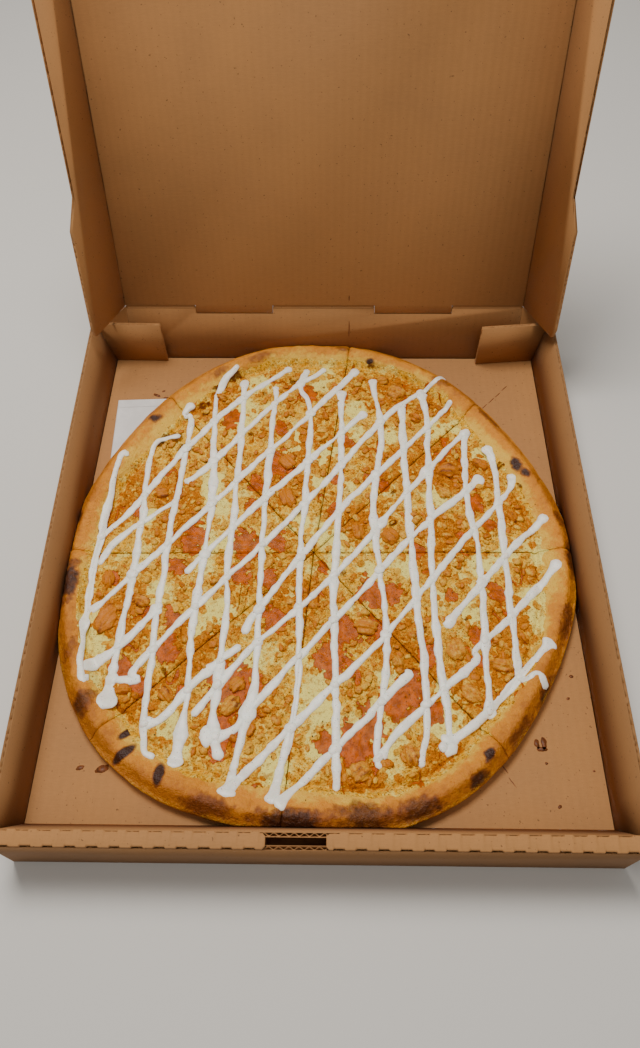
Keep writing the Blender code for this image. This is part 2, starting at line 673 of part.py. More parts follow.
def smooth_path(points, step):
    """A smooth course through the points, as evenly spaced places."""
    spots = [Vector(point) for point in points]
    before = 2 * spots[0] - spots[1]
    after = 2 * spots[-1] - spots[-2]
    ends = [before, *spots, after]
    fine = []
    for a, b, c, d in zip(ends, ends[1:], ends[2:], ends[3:]):
        for part in range(PARTS_PER_SPAN):
            t = part / PARTS_PER_SPAN
            linear = (c - a) * t
            square = (2 * a - 5 * b + 4 * c - d) * t ** 2
            cube = (3 * b - a - 3 * c + d) * t ** 3
            fine.append((2 * b + linear + square + cube) / 2)
    fine.append(spots[-1])
    lengths = [(there - here).length for here, there in zip(fine, fine[1:])]
    count = max(2, round(sum(lengths) / step))
    places = [fine[0]]
    walked = 0
    wanted = sum(lengths) / count
    for here, there, length in zip(fine, fine[1:], lengths):
        while walked + length >= wanted * len(places) and len(places) < count:
            share = (wanted * len(places) - walked) / length
            places.append(here.lerp(there, share))
        walked += length
    places.append(fine[-1])
    return places


def inside_cheese(place_xy, margin):
    dx, dy = place_xy[0] - PIZZA_X, place_xy[1] - PIZZA_Y
    return math.hypot(dx, dy) < cheese_edge(math.atan2(dy, dx)) - margin


def rope_mesh(path):
    """A drizzle rope: a curve with a round bevel and filled caps, made a mesh with its caps welded."""
    curve = bpy.data.curves.new("rope", "CURVE")
    curve.dimensions = "3D"
    curve.bevel_depth = ROPE_RADIUS
    curve.bevel_resolution = 0
    curve.use_fill_caps = True
    spline = curve.splines.new("POLY")
    spline.points.add(len(path) - 1)
    for point, spot in zip(spline.points, path):
        point.co = (spot.x, spot.y, ROPE_CENTRE_Z, 1)
    guide = bpy.data.objects.new("rope_guide", curve)
    bpy.context.scene.collection.objects.link(guide)
    graph = bpy.context.evaluated_depsgraph_get()
    mesh = bpy.data.meshes.new_from_object(guide.evaluated_get(graph))
    bpy.data.objects.remove(guide, do_unlink=True)
    bm = bmesh.new()
    bm.from_mesh(mesh)
    bpy.data.meshes.remove(mesh)
    bmesh.ops.remove_doubles(bm, verts=bm.verts, dist=WELD)
    return mesh_from(bm, "rope")


def drizzle_paths():
    """The strokes as evenly spaced places, cut off where they would leave the cheese."""
    paths = []
    for stroke in STROKES:
        places = smooth_path(stroke, ROPE_STEP)
        paths.append([spot for spot in places if inside_cheese(spot, ROPE_END_MARGIN)])
    return paths


def wedge_mesh(index):
    """A wedge that reaches past one slice, with its sides on the slice's own cut planes."""
    first, last = slice_angles(index)
    apex = Vector((*slice_apex(index), 0))
    reach = 1.3 * MEAN_RADIUS
    turns = [first + (last - first) * share for share in (0, 0.5, 1)]
    ring = [apex] + [apex + reach * Vector((math.cos(turn), math.sin(turn), 0)) for turn in turns]
    bm = bmesh.new()
    face = bm.faces.new([bm.verts.new(corner) for corner in ring])
    swept = bmesh.ops.extrude_face_region(bm, geom=[face])
    moved = [item for item in swept["geom"] if isinstance(item, bmesh.types.BMVert)]
    bmesh.ops.translate(bm, vec=(0, 0, 2 * RIM_CREST_Z), verts=moved)
    return mesh_from(bm, "wedge")


def build_cheese(paths, cheese, collection):
    """Fuse the drizzle to the cheese, then part the layer along the cuts."""
    whole = add_object("cheese_whole", cheese_mesh(), cheese, collection)
    bpy.context.view_layer.update()
    apply_boolean(whole, "UNION", [rope_mesh(path) for path in paths], "MANIFOLD")
    for index in range(SLICES):
        piece = add_object(f"cheese_{index + 1}", whole.data.copy(), cheese, collection)
        bpy.context.view_layer.update()
        apply_boolean(piece, "INTERSECT", [wedge_mesh(index)], "MANIFOLD")
        keep_largest_shell(piece)
    bpy.data.objects.remove(whole, do_unlink=True)


def cut_distance(spot):
    """Distance from a spot to the nearest cut."""
    offset = Vector((spot[0] - PIZZA_X, spot[1] - PIZZA_Y))
    nearest = offset.length
    for degrees in CUT_ANGLES_DEG:
        along = Vector((math.cos(math.radians(degrees)), math.sin(math.radians(degrees))))
        if offset.dot(along) > 0:
            nearest = min(nearest, abs(offset.x * along.y - offset.y * along.x))
    return nearest


def room_at(spot, paths, taken):
    """Radius of the free disc on the cheese round a spot, clear of drizzle, cuts and other pieces."""
    room = cut_distance(spot) - ROPE_SPACING
    for path in paths:
        for here, there in zip(path, path[1:]):
            along = there - here
            share = min(max((Vector(spot) - here).dot(along) / along.length_squared, 0), 1)
            nearest = (here + along * share - Vector(spot)).length
            room = min(room, nearest - ROPE_RADIUS - ROPE_SPACING)
    for other, radius in taken:
        room = min(room, math.dist(spot, other) - radius - ROPE_SPACING)
    return room


def chicken_spots(paths):
    """Near each cluster, the nearest places on a spiral with room for a piece, in turns."""
    golden = math.pi * (3 - math.sqrt(5))
    taken = []
    for least in CHICKEN_LEAST_HALF_LENGTHS:
        for centre in CHICKEN_PLACES:
            for step in range(CHICKEN_TRIES):
                far = CHICKEN_SPIRAL * math.sqrt(step)
                turn = golden * step
                spot = (centre[0] + far * math.cos(turn), centre[1] + far * math.sin(turn))
                room = min(room_at(spot, paths, taken), CHICKEN_MOST_HALF_LENGTH)
                if room >= least and inside_cheese(spot, room + CHICKEN_EDGE_MARGIN):
                    taken.append((spot, room))
                    break
            if len(taken) == CHICKEN_NODES:
                return taken
    return taken


def build_chicken(spot, half_length, number, draw, chicken, collection):
    """One torn chunk: a low ball pulled about by seeded lumps, flat underneath."""
    bm = bmesh.new()
    bmesh.ops.create_icosphere(bm, subdivisions=2, radius=1.0)
    turn = draw.uniform(0, FULL_TURN)
    narrow = draw.uniform(0.62, 0.85)
    tall = CHICKEN_HALF_HEIGHT * draw.uniform(0.85, 1.2)
    lumps = []
    for _ in range(CHICKEN_LUMPS):
        way = Vector((draw.gauss(0, 1), draw.gauss(0, 1), draw.gauss(0, 1))).normalized()
        lumps.append((way, draw.uniform(0.08, 0.2)))
    for vert in bm.verts:
        pulled = sum(size * max(0, vert.co.dot(way)) ** 3 for way, size in lumps)
        shrunk = 0.8 + min(pulled, 0.2)
        x, y, z = vert.co * shrunk
        vert.co = (half_length * x, half_length * narrow * y, max(tall * z, -0.35 * tall))
    bmesh.ops.rotate(bm, cent=(0, 0, 0), matrix=Matrix.Rotation(turn, 3, "Z"), verts=bm.verts)
    lowest = min(vert.co.z for vert in bm.verts)
    bmesh.ops.translate(bm, vec=(0, 0, -lowest), verts=bm.verts)
    name = f"chicken_{number:02d}"
    piece = add_object(name, mesh_from(bm, name), chicken, collection)
    piece.location = (*spot, CHEESE_TOP_Z + CHICKEN_GAP)
    piece.data.shade_smooth()


def build_pizza(collection, dough, cheese, chicken):
    for index in range(SLICES):
        build_dough_slice(index, dough, collection)
    paths = drizzle_paths()
    build_cheese(paths, cheese, collection)
    draw = random.Random(CHICKEN_SEED)
    for number, (spot, half_length) in enumerate(chicken_spots(paths), start=1):
        build_chicken(spot, half_length, number, draw, chicken, collection)


def main():
    clear_scene()
    parts = new_collection("pizza_in_its_box")
    board = material("kraft_board", (0.36, 0.21, 0.10), 0.85)
    paper = material("white_paper", (0.72, 0.70, 0.68), 0.8)
    dough = material("baked_dough", (0.62, 0.34, 0.13), 0.75)
    cheese = material("cheese_and_drizzle", (0.80, 0.66, 0.38), 0.45)
    chicken = material("chicken", (0.62, 0.30, 0.10), 0.6)
    build_floor(board, parts)
    build_side_wall("wall_left", -1, board, parts)
    build_side_wall("wall_right", 1, board, parts)
    build_back_wall(board, parts)
    build_front_wall(board, parts)
    build_dust_flaps(board, parts)
    build_back_corners(board, parts)
    build_paper_bag(paper, parts)
    build_lid(board, parts)
    build_pizza(parts, dough, cheese, chicken)


main()
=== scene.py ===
"""Detailed look of a takeaway pizza in its box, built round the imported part.

Everything is in metres and in the part's own frame: +Z up, +Y to the lid's hinge.
"""

import math

import bmesh
import bpy
import numpy as np
from bpy.props import FloatProperty, FloatVectorProperty, IntProperty, PointerProperty
from mathutils import Matrix, Vector


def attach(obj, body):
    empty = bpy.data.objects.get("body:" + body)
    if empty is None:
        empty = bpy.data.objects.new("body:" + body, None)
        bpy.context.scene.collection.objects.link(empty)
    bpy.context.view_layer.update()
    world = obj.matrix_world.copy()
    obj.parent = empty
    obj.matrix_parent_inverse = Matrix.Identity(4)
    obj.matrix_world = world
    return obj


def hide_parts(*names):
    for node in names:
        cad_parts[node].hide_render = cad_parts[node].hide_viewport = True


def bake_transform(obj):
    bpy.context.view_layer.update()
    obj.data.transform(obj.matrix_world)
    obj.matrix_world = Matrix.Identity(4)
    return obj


bl_info = {
    "name": "Pizza in its Box",
    "version": (1, 0, 0),
    "blender": (4, 5, 0),
    "location": "View3D > Sidebar > Pizza Box",
    "description": "Builds the corrugated box, the sliced pizza and a plain studio round the packed part",
    "category": "Object",
}

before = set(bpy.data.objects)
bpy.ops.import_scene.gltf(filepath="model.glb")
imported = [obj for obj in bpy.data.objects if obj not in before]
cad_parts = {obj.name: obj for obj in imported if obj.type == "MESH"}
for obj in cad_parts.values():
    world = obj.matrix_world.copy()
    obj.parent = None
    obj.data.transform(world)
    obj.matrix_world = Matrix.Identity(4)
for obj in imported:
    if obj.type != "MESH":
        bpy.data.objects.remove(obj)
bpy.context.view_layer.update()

# Sizes that repeat the part's own, in metres
BOARD = 0.003
HINGE = np.array([0.0, 0.2311, 0.0563])
LID_LEAN = math.radians(14.7)
LID_HALF_WIDTH = 0.188
LID_LENGTH = 0.438
FLAP_SPLAY = math.radians(22.0)
FLAP_WIDE = 0.051
FLAP_NARROW = 0.0395
BACK_WALL_HALF_WIDTH = 0.1873
BACK_WALL_FOOT_Y = 0.2143
WALL_HEIGHT = 0.0567
FLOOR_WIDTH = 0.406
FLOOR_BACK_Y = 0.2124
SIDE_WALL_FRONT_Y = -0.2268
SPLAYS = {-1: (0.0022, 0.0101), 1: (0.0052, 0.0071)}
FRONT_CREASE_Y = -0.2145
ROLL_BACK_Y = -0.2273
ROLL_FRONT_Y = -0.2378
FRONT_HALF_WIDTH = 0.2062
SLOT_X = (-0.0322, 0.0061)
HINGE_CREASES = (("middle", -0.0475, 0.0475), ("left", -0.187, -0.1220), ("right", 0.1220, 0.187))
PIZZA = np.array([-0.0060, -0.0080])
MEAN_RADIUS = 0.2158
OUTLINE_WAVES = ((1, 0.0035, 70), (2, 0.0079, 165), (3, 0.0043, -74), (4, 0.0011, 81),
                 (5, 0.0017, 37), (6, 0.0014, -33))
CUT_ANGLES = np.radians((0.5, 46.0, 82.0, 130.5, 180.5, 223.8, 264.8, 311.0))
SLICES = len(CUT_ANGLES)
CUT_GAP = 0.0003
UNDERSIDE_Z = 0.0033
DOUGH_TOP_Z = 0.0084
CHEESE_BOTTOM_Z = 0.0087
CHEESE_TOP_Z = 0.0132
RIM_CREST_Z = 0.0205
RIM_WIDTH = 0.0285
BAG_SIZE = (0.072, 0.092)
BAG_CENTRE = (-0.1565, 0.1140)
BAG_TURN = math.radians(2.5)
CHICKEN_PIECES = 27

# Loose small pieces on the pizza: how many, how far out they are scattered, and the shreds' spacing
SCRAP_TRIES = 5200
SCRAPS = 700
HERB_SPECKS = 620
BROWN_SPECKS = 190
SCATTER_REACH = 0.190
HERB_REACH = 0.193
SHRED_STEP = 0.0029

# How fine the meshes are
ROLL_STEP = 0.0008
STROKE_STEP = 0.0016
CRUST_STEP = 0.0011
CHEESE_STEP = 0.00085
CHEESE_RINGS = 225

# The camera that the fit to the photograph gave: place, pitch, yaw and roll, and in the picture's own
# pixels its focal length, its height, its middle row and the row of the optical axis
CAMERA_PLACE = (0.008335, -0.329371, 0.618524)
CAMERA_TURNS = (54.734, -1.409, -0.902)
FOCAL_PIXELS = 826.87
PICTURE_HEIGHT = 1048
MIDDLE_ROW = 524
AXIS_ROW = 446.719

# Strokes of the drizzle, each as the places (x, y) that it runs through
STROKES = (
    ((-0.171, 0.087), (-0.179, 0.072), (-0.185, -0.034), (-0.179, -0.110), (-0.171, -0.119)),
    ((-0.128, 0.109), (-0.152, 0.097), (-0.152, 0.026), (-0.153, -0.051), (-0.157, -0.140)),
    ((-0.121, 0.146), (-0.127, 0.133), (-0.121, 0.120), (-0.127, -0.002), (-0.127, -0.151),
     (-0.116, -0.174)),
    ((-0.081, 0.189), (-0.099, 0.154), (-0.094, 0.035), (-0.099, -0.061), (-0.098, -0.132),
     (-0.102, -0.180)),
    ((-0.074, 0.176), (-0.074, 0.040), (-0.077, -0.022), (-0.073, -0.059), (-0.077, -0.142),
     (-0.070, -0.174)),
    ((-0.044, 0.168), (-0.049, 0.014), (-0.048, -0.109), (-0.053, -0.146), (-0.064, -0.200)),
    ((-0.015, 0.189), (-0.021, 0.168), (-0.011, 0.128), (-0.017, -0.010), (-0.017, -0.124),
     (-0.032, -0.204)),
    ((0.017, 0.163), (0.017, 0.088), (0.011, -0.031), (0.011, -0.087), (0.013, -0.194)),
    ((0.046, 0.177), (0.053, 0.113), (0.044, 0.034), (0.051, -0.080), (0.042, -0.155), (0.042, -0.179)),
    ((0.073, 0.144), (0.073, 0.029), (0.079, -0.124), (0.072, -0.178)),
    ((0.091, 0.161), (0.095, 0.129), (0.092, 0.034), (0.090, -0.073), (0.094, -0.155), (0.089, -0.163)),
    ((0.129, 0.119), (0.124, 0.051), (0.129, -0.013), (0.124, -0.143)),
    ((0.146, 0.100), (0.151, 0.067), (0.149, -0.079), (0.151, -0.113), (0.162, -0.112), (0.167, -0.122)),
    ((-0.184, 0.006), (-0.162, 0.031), (-0.124, 0.092), (-0.082, 0.146), (-0.030, 0.191)),
    ((-0.119, 0.058), (-0.101, 0.077), (-0.036, 0.157), (0.003, 0.189)),
    ((-0.181, -0.021), (-0.168, 0.004), (-0.126, 0.039)),
    ((-0.182, -0.063), (-0.148, -0.025), (-0.064, 0.073), (-0.004, 0.144), (0.033, 0.189)),
    ((-0.180, -0.110), (-0.156, -0.092), (-0.127, -0.056)),
    ((-0.110, -0.028), (-0.062, 0.029), (0.040, 0.138)),
    ((-0.155, -0.116), (-0.136, -0.116), (-0.139, -0.107), (-0.102, -0.061), (-0.014, 0.039),
     (0.060, 0.134), (0.115, 0.176)),
    ((-0.059, -0.080), (-0.046, -0.055), (0.020, 0.038), (0.077, 0.100), (0.119, 0.148)),
    ((-0.128, -0.149), (-0.114, -0.145), (-0.097, -0.122), (-0.061, -0.088)),
    ((-0.093, -0.143), (-0.058, -0.097), (-0.005, -0.045), (0.037, 0.003), (0.090, 0.071), (0.130, 0.116)),
    ((-0.086, -0.159), (-0.064, -0.154), (-0.041, -0.126), (0.023, -0.053), (0.076, 0.008),
     (0.140, 0.067)),
    ((-0.064, -0.196), (0.003, -0.127), (0.052, -0.078), (0.114, -0.001), (0.158, 0.049), (0.165, 0.069)),
    ((-0.029, -0.206), (0.051, -0.126), (0.069, -0.107)),
    ((0.097, -0.073), (0.147, -0.014), (0.188, 0.026)),
    ((0.043, -0.171), (0.064, -0.146), (0.115, -0.102), (0.119, -0.090), (0.147, -0.065),
     (0.193, -0.018)),
    ((0.089, -0.163), (0.121, -0.140), (0.177, -0.084)),
)

# Where the drizzle runs out wide: x, y, reach along the stroke, and how many times wider it gets
DRIZZLE_BLOBS = (
    (-0.155, -0.134, 0.010, 1.9), (-0.154, -0.143, 0.005, 0.9), (-0.168, -0.105, 0.008, 1.4),
    (-0.122, -0.150, 0.006, 1.0), (-0.100, -0.158, 0.009, 1.6), (-0.101, -0.176, 0.009, 0.8),
    (-0.081, -0.160, 0.006, 0.9), (-0.072, -0.153, 0.007, 0.8), (-0.052, -0.141, 0.007, 1.0),
    (-0.140, -0.114, 0.006, 0.5), (-0.083, -0.110, 0.011, 0.6), (-0.011, -0.180, 0.008, 0.5),
    (-0.170, 0.085, 0.005, 0.9), (-0.182, -0.075, 0.006, 0.7), (0.089, -0.163, 0.006, 0.9),
    (0.190, -0.018, 0.006, 0.8), (0.176, -0.086, 0.006, 1.1), (-0.061, -0.200, 0.006, 0.7),
    (-0.150, 0.030, 0.007, 0.5), (-0.094, 0.060, 0.006, 0.4), (0.050, 0.020, 0.007, 0.5),
    (0.092, 0.070, 0.006, 0.5), (0.010, -0.035, 0.006, 0.4), (0.125, -0.085, 0.006, 0.5),
)

# Where the larger patches of sauce show between the cheese: x, y and radius
SAUCE_PATCHES = (
    (-0.036, 0.079, 0.012), (-0.084, 0.129, 0.009), (-0.038, 0.119, 0.007), (-0.157, 0.031, 0.006),
    (-0.105, 0.007, 0.011), (-0.057, 0.058, 0.007), (-0.061, 0.036, 0.006), (-0.061, -0.004, 0.014),
    (-0.037, 0.000, 0.008), (-0.014, 0.162, 0.007), (0.011, 0.033, 0.006), (0.024, 0.104, 0.006),
    (0.054, 0.058, 0.006), (0.012, 0.065, 0.005), (0.130, 0.040, 0.008), (0.141, 0.020, 0.006),
    (0.078, -0.006, 0.007), (-0.107, -0.004, 0.007), (-0.116, -0.022, 0.008), (-0.169, -0.031, 0.006),
    (-0.065, -0.027, 0.008), (-0.042, -0.034, 0.009), (-0.037, -0.067, 0.009), (-0.116, -0.065, 0.008),
    (-0.116, -0.092, 0.009), (-0.149, -0.108, 0.009), (-0.136, -0.120, 0.008), (-0.064, -0.123, 0.019),
    (-0.070, -0.155, 0.011), (-0.072, -0.168, 0.007), (0.006, -0.099, 0.011), (0.002, -0.021, 0.005),
    (0.005, -0.162, 0.008), (0.041, -0.043, 0.011), (0.057, -0.045, 0.008), (0.010, -0.100, 0.014),
    (0.018, -0.076, 0.011), (0.043, -0.073, 0.009), (0.140, -0.044, 0.008), (0.120, -0.078, 0.006),
    (0.119, -0.099, 0.005), (0.067, -0.120, 0.011), (0.056, -0.132, 0.011), (0.026, -0.164, 0.015),
    (0.037, -0.146, 0.012), (0.082, -0.093, 0.008), (0.103, -0.046, 0.005), (0.085, -0.139, 0.008),
)

# Where chicken lies thickest, as x, y and spread
CHICKEN_CLUSTERS = (
    (-0.166, 0.053, 0.020), (-0.183, 0.021, 0.010), (-0.106, 0.156, 0.017), (0.069, 0.165, 0.018),
    (0.109, 0.151, 0.016), (0.110, 0.073, 0.021), (0.073, 0.073, 0.018), (0.034, 0.020, 0.017),
    (0.167, 0.028, 0.017), (0.032, -0.188, 0.016), (0.100, -0.122, 0.018), (0.134, -0.114, 0.016),
    (0.061, -0.088, 0.017), (0.089, -0.172, 0.014), (-0.158, -0.061, 0.018), (-0.143, -0.132, 0.015),
    (-0.068, -0.146, 0.016), (-0.040, 0.060, 0.018), (-0.120, 0.030, 0.022), (-0.020, -0.050, 0.018),
    (-0.090, -0.090, 0.018), (0.100, 0.010, 0.018), (-0.010, 0.100, 0.020), (0.150, -0.070, 0.016),
)

# Pools of bare melted cheese: x, y and radius
CHEESE_POOLS = (
    (-0.095, 0.060, 0.012), (0.010, 0.005, 0.014), (-0.020, 0.020, 0.011), (0.100, 0.120, 0.012),
    (-0.130, -0.045, 0.012), (-0.080, -0.060, 0.013), (0.070, -0.020, 0.012), (0.130, -0.020, 0.012),
    (-0.010, -0.130, 0.012), (0.090, -0.150, 0.013), (0.150, -0.010, 0.012), (0.030, 0.140, 0.012),
    (-0.060, 0.170, 0.012), (-0.110, -0.150, 0.012), (-0.030, -0.180, 0.013), (0.060, 0.110, 0.010),
    (0.165, -0.050, 0.012), (-0.005, 0.060, 0.010), (0.120, -0.060, 0.010), (-0.170, -0.090, 0.010),
    (0.050, -0.110, 0.009), (-0.050, -0.100, 0.010), (0.180, -0.010, 0.010), (0.140, 0.090, 0.010),
)

# Dark baked spots on the crust: x, y, long and short radius, turn in degrees, and strength
CHAR_SPOTS = (
    (-0.153, 0.125, 0.007, 0.005, 20, 1.0), (-0.189, 0.089, 0.010, 0.006, 60, 0.6),
    (-0.205, 0.022, 0.007, 0.005, 90, 0.8), (-0.202, -0.040, 0.022, 0.011, 85, 0.9),
    (-0.190, -0.095, 0.012, 0.008, 70, 0.5), (-0.175, -0.137, 0.016, 0.009, 50, 0.8),
    (-0.138, -0.156, 0.0082, 0.0030, 43, 1.4), (-0.138, -0.171, 0.0108, 0.0038, 40, 1.4),
    (-0.111, -0.185, 0.0092, 0.0042, 84, 1.4), (-0.076, -0.205, 0.022, 0.008, -10, 0.7),
    (-0.020, -0.214, 0.030, 0.010, 0, 0.9), (0.030, -0.210, 0.026, 0.010, 0, 0.8),
    (0.070, -0.206, 0.022, 0.010, 12, 0.8), (0.112, -0.186, 0.010, 0.006, 30, 0.9),
    (0.120, -0.170, 0.006, 0.004, 60, 1.2), (0.150, -0.152, 0.022, 0.010, 45, 0.7),
    (0.170, -0.125, 0.018, 0.009, 55, 1.0), (0.192, -0.070, 0.020, 0.009, 75, 0.7),
    (0.204, -0.015, 0.022, 0.008, 90, 0.8), (0.199, 0.024, 0.012, 0.007, 95, 0.6),
    (0.169, 0.077, 0.008, 0.005, -60, 1.1), (0.176, 0.067, 0.006, 0.004, -60, 1.0),
    (0.150, 0.130, 0.018, 0.006, -45, 0.6), (0.110, 0.167, 0.016, 0.006, -35, 0.5),
    (0.044, 0.196, 0.006, 0.004, 0, 1.1), (0.020, 0.210, 0.009, 0.005, -5, 0.6),
    (-0.098, 0.181, 0.012, 0.005, 35, 0.5), (-0.060, 0.199, 0.018, 0.005, 20, 0.5),
)

# Burst blisters in the cheese: x, y and radius
BLISTERS = (
    (-0.138, 0.105, 0.011), (-0.123, 0.096, 0.008), (-0.087, 0.180, 0.009), (-0.102, 0.168, 0.006),
    (0.047, 0.195, 0.005), (-0.111, 0.145, 0.006), (-0.108, 0.135, 0.004), (0.160, 0.092, 0.006),
    (0.175, 0.060, 0.007), (0.156, 0.079, 0.005), (-0.186, 0.012, 0.005), (0.166, -0.100, 0.005),
    (0.128, -0.062, 0.004), (-0.020, 0.030, 0.005), (0.096, 0.145, 0.005), (0.060, 0.020, 0.004),
)


# Settings that a user may change

def shown_colour(red, green, blue):
    """A colour given as it shows on screen, 0 to 255, turned into the linear numbers that shaders take."""
    shown = np.array((red, green, blue)) / 255
    return tuple(np.where(shown < 0.04045, shown / 12.92, ((shown + 0.055) / 1.055) ** 2.4))


def colour_setting(name, description, red, green, blue):
    """A colour property, with its default given as it shows on screen."""
    return FloatVectorProperty(name=name, description=description, subtype="COLOR", size=3, min=0, max=1,
                               default=shown_colour(red, green, blue))


def length_setting(name, description, default):
    """A length property in metres."""
    return FloatProperty(name=name, description=description, default=default, min=0, unit="LENGTH")


class PIZZABOX_PG_board(bpy.types.PropertyGroup):
    """Sizes and colours of the corrugated board and of the paper bag."""
    flute_pitch: length_setting("Flute pitch", "Distance from one flute to the next", 0.0064)
    liner: length_setting("Liner", "Thickness of the flat paper on each side of the flutes", 0.00042)
    medium: length_setting("Medium", "Thickness of the wavy paper between the liners", 0.0003)
    score_pitch: length_setting("Score pitch", "Distance between the cuts along the front roll", 0.0140)
    kraft: colour_setting("Kraft", "Brown paper of the board", 174, 123, 72)
    cut_edge: colour_setting("Cut edge", "Paler paper along a cut", 204, 168, 124)
    # This dark colour is both the grease marks on the floor and the painted shade inside the two slits
    stain_and_slit_shade: colour_setting("Stain", "Grease and sauce marks on the board", 92, 50, 22)
    paper: colour_setting("Paper", "White paper of the bag", 226, 224, 222)


class PIZZABOX_PG_pizza(bpy.types.PropertyGroup):
    """Sizes and colours of the pizza."""
    seed: IntProperty(name="Seed", description="Start of all random choices", default=11, min=0)
    drizzle_half_width: length_setting("Drizzle half width", "Half the usual width of a stroke", 0.0027)
    drizzle_height: length_setting("Drizzle height", "Height of a stroke above what it lies on", 0.0010)
    crust: colour_setting("Crust", "Golden brown of the baked crust", 218, 138, 22)
    crust_pale: colour_setting("Pale crust", "Least baked part of the crust", 238, 188, 62)
    char: colour_setting("Char", "Darkest baked spots", 58, 26, 12)
    cheese: colour_setting("Cheese", "Melted cheese", 250, 232, 122)
    golden: colour_setting("Golden", "Cheese that has taken up oil and sauce", 240, 174, 24)
    chicken: colour_setting("Chicken", "Spiced torn chicken", 204, 118, 0)
    chicken_pale: colour_setting("Pale chicken", "Inner side of torn chicken", 236, 184, 60)
    browned: colour_setting("Browned", "Browned cheese and meat edges", 104, 42, 4)
    sauce: colour_setting("Sauce", "Hot orange sauce", 198, 90, 0)
    drizzle: colour_setting("Drizzle", "Creamy white sauce", 250, 247, 236)
    herb: colour_setting("Herb", "Dried herb and pepper specks", 52, 40, 16)


class PIZZABOX_PG_stage(bpy.types.PropertyGroup):
    """Studio floor and light."""
    floor: colour_setting("Floor", "Plain pale studio floor", 214, 211, 206)
    key_power: FloatProperty(name="Key power", description="Power of the large light overhead", default=26.0,
                             min=0, unit="POWER")
    fill_power: FloatProperty(name="Fill power", description="Power of the light in front", default=6.0,
                              min=0, unit="POWER")
    world: FloatProperty(name="Surrounding light", description="Strength of the even light all round",
                         default=0.22, min=0)


# Noise and fields worked out as whole arrays

def smooth(share):
    """Rises smoothly from nothing at 0 to one at 1: three times the square less twice the cube."""
    share = np.clip(share, 0, 1)
    return share * share * (3 - 2 * share)


def lattice(ix, iy, iz, seed):
    """A repeatable number from -1 to 1 for each point of a whole-number lattice."""
    mixed = (ix * 374761393 + iy * 668265263 + iz * 1440662683 + seed * 974634777) & 0xFFFFFFFF
    mixed = ((mixed ^ (mixed >> 13)) * 1274126177) & 0xFFFFFFFF
    mixed = ((mixed ^ (mixed >> 16)) * 2246822519) & 0xFFFFFFFF
    return (mixed ^ (mixed >> 15)) / 2147483647.5 - 1


def noise(x, y, z, size, seed, octaves=3, fade=0.5):
    """Lattice numbers blended smoothly in between, in layers of half the size and less strength each."""
    total, weight, reach = 0, 1, 0
    for layer in range(octaves):
        px, py, pz = (np.asarray(c, float) / size for c in (x, y, z))
        ix, iy, iz = (np.floor(c).astype(np.int64) for c in (px, py, pz))
        fx, fy, fz = smooth(px - ix), smooth(py - iy), smooth(pz - iz)
        value = 0
        for dx in (0, 1):
            for dy in (0, 1):
                for dz in (0, 1):
                    share = (fx if dx else 1 - fx) * (fy if dy else 1 - fy) * (fz if dz else 1 - fz)
                    value = value + share * lattice(ix + dx, iy + dy, iz + dz, seed + layer)
        total = total + weight * value
        reach += weight
        weight *= fade
        size /= 2
    return total / reach


RASTER_STEP = 0.0005
RASTER_LOW = -0.240
RASTER_COUNT = 960


def sample(raster, x, y):
    """Reads a raster at any place, blended between its four nearest cells."""
    px = np.clip((np.asarray(x) - RASTER_LOW) / RASTER_STEP, 0, RASTER_COUNT - 1.001)
    py = np.clip((np.asarray(y) - RASTER_LOW) / RASTER_STEP, 0, RASTER_COUNT - 1.001)
    ix, iy = px.astype(int), py.astype(int)
    fx, fy = px - ix, py - iy
    low = raster[iy, ix] * (1 - fx) + raster[iy, ix + 1] * fx
    high = raster[iy + 1, ix] * (1 - fx) + raster[iy + 1, ix + 1] * fx
    return low * (1 - fy) + high * fy


# Meshes

def piece_from(name, points, quads=(), triangles=(), rings=(), attributes=None, flat=False):
    """A mesh object from arrays of points and of four-, three- and many-cornered faces."""
    mesh = bpy.data.meshes.new(name)
    points = np.ascontiguousarray(points, np.float32).reshape(-1, 3)
    blocks = [np.asarray(block, np.int32).reshape(-1, size)
              for block, size in ((quads, 4), (triangles, 3)) if len(block)]
    corners = [block.ravel() for block in blocks] + [np.asarray(ring, np.int32) for ring in rings]
    sizes = [np.full(len(block), block.shape[1]) for block in blocks] + [[len(ring)] for ring in rings]
    corners, sizes = np.concatenate(corners), np.concatenate(sizes).astype(np.int32)
    starts = np.concatenate(([0], np.cumsum(sizes)[:-1])).astype(np.int32)
    mesh.vertices.add(len(points))
    mesh.vertices.foreach_set("co", points.ravel())
    mesh.loops.add(len(corners))
    mesh.loops.foreach_set("vertex_index", corners.astype(np.int32))
    mesh.polygons.add(len(sizes))
    mesh.polygons.foreach_set("loop_start", starts)
    mesh.update(calc_edges=True)
    mesh.validate()
    for key, values in (attributes or {}).items():
        layer = mesh.attributes.new(key, "FLOAT", "POINT")
        layer.data.foreach_set("value", np.asarray(values, np.float32).ravel())
    if not flat:
        mesh.shade_smooth()
    piece = bpy.data.objects.new(name, mesh)
    bpy.context.scene.collection.objects.link(piece)
    return piece


def finished(piece, body, *materials, slot=None, replaces=()):
    """Gives a piece its materials and its body, and hides the part's nodes that it stands for; its slot is
    not used.
    """
    piece.data.materials.clear()
    for made_of in materials:
        piece.data.materials.append(made_of)
    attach(piece, body)
    if replaces:
        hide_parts(*replaces)
    return piece


def grid_quads(rows, columns, around=False):
    """Corner numbers of a grid's quads, whose last column meets its first if it runs round."""
    index = np.arange(rows * columns).reshape(rows, columns)
    if around:
        index = np.concatenate((index, index[:, :1]), axis=1)
    return np.stack((index[:-1, :-1], index[:-1, 1:], index[1:, 1:], index[1:, :-1]), -1).reshape(-1, 4)


def end_rings(rows, count):
    """Faces that close the two ends of a tube whose sections have count points each."""
    return [np.arange(count)[::-1], (rows - 1) * count + np.arange(count)]


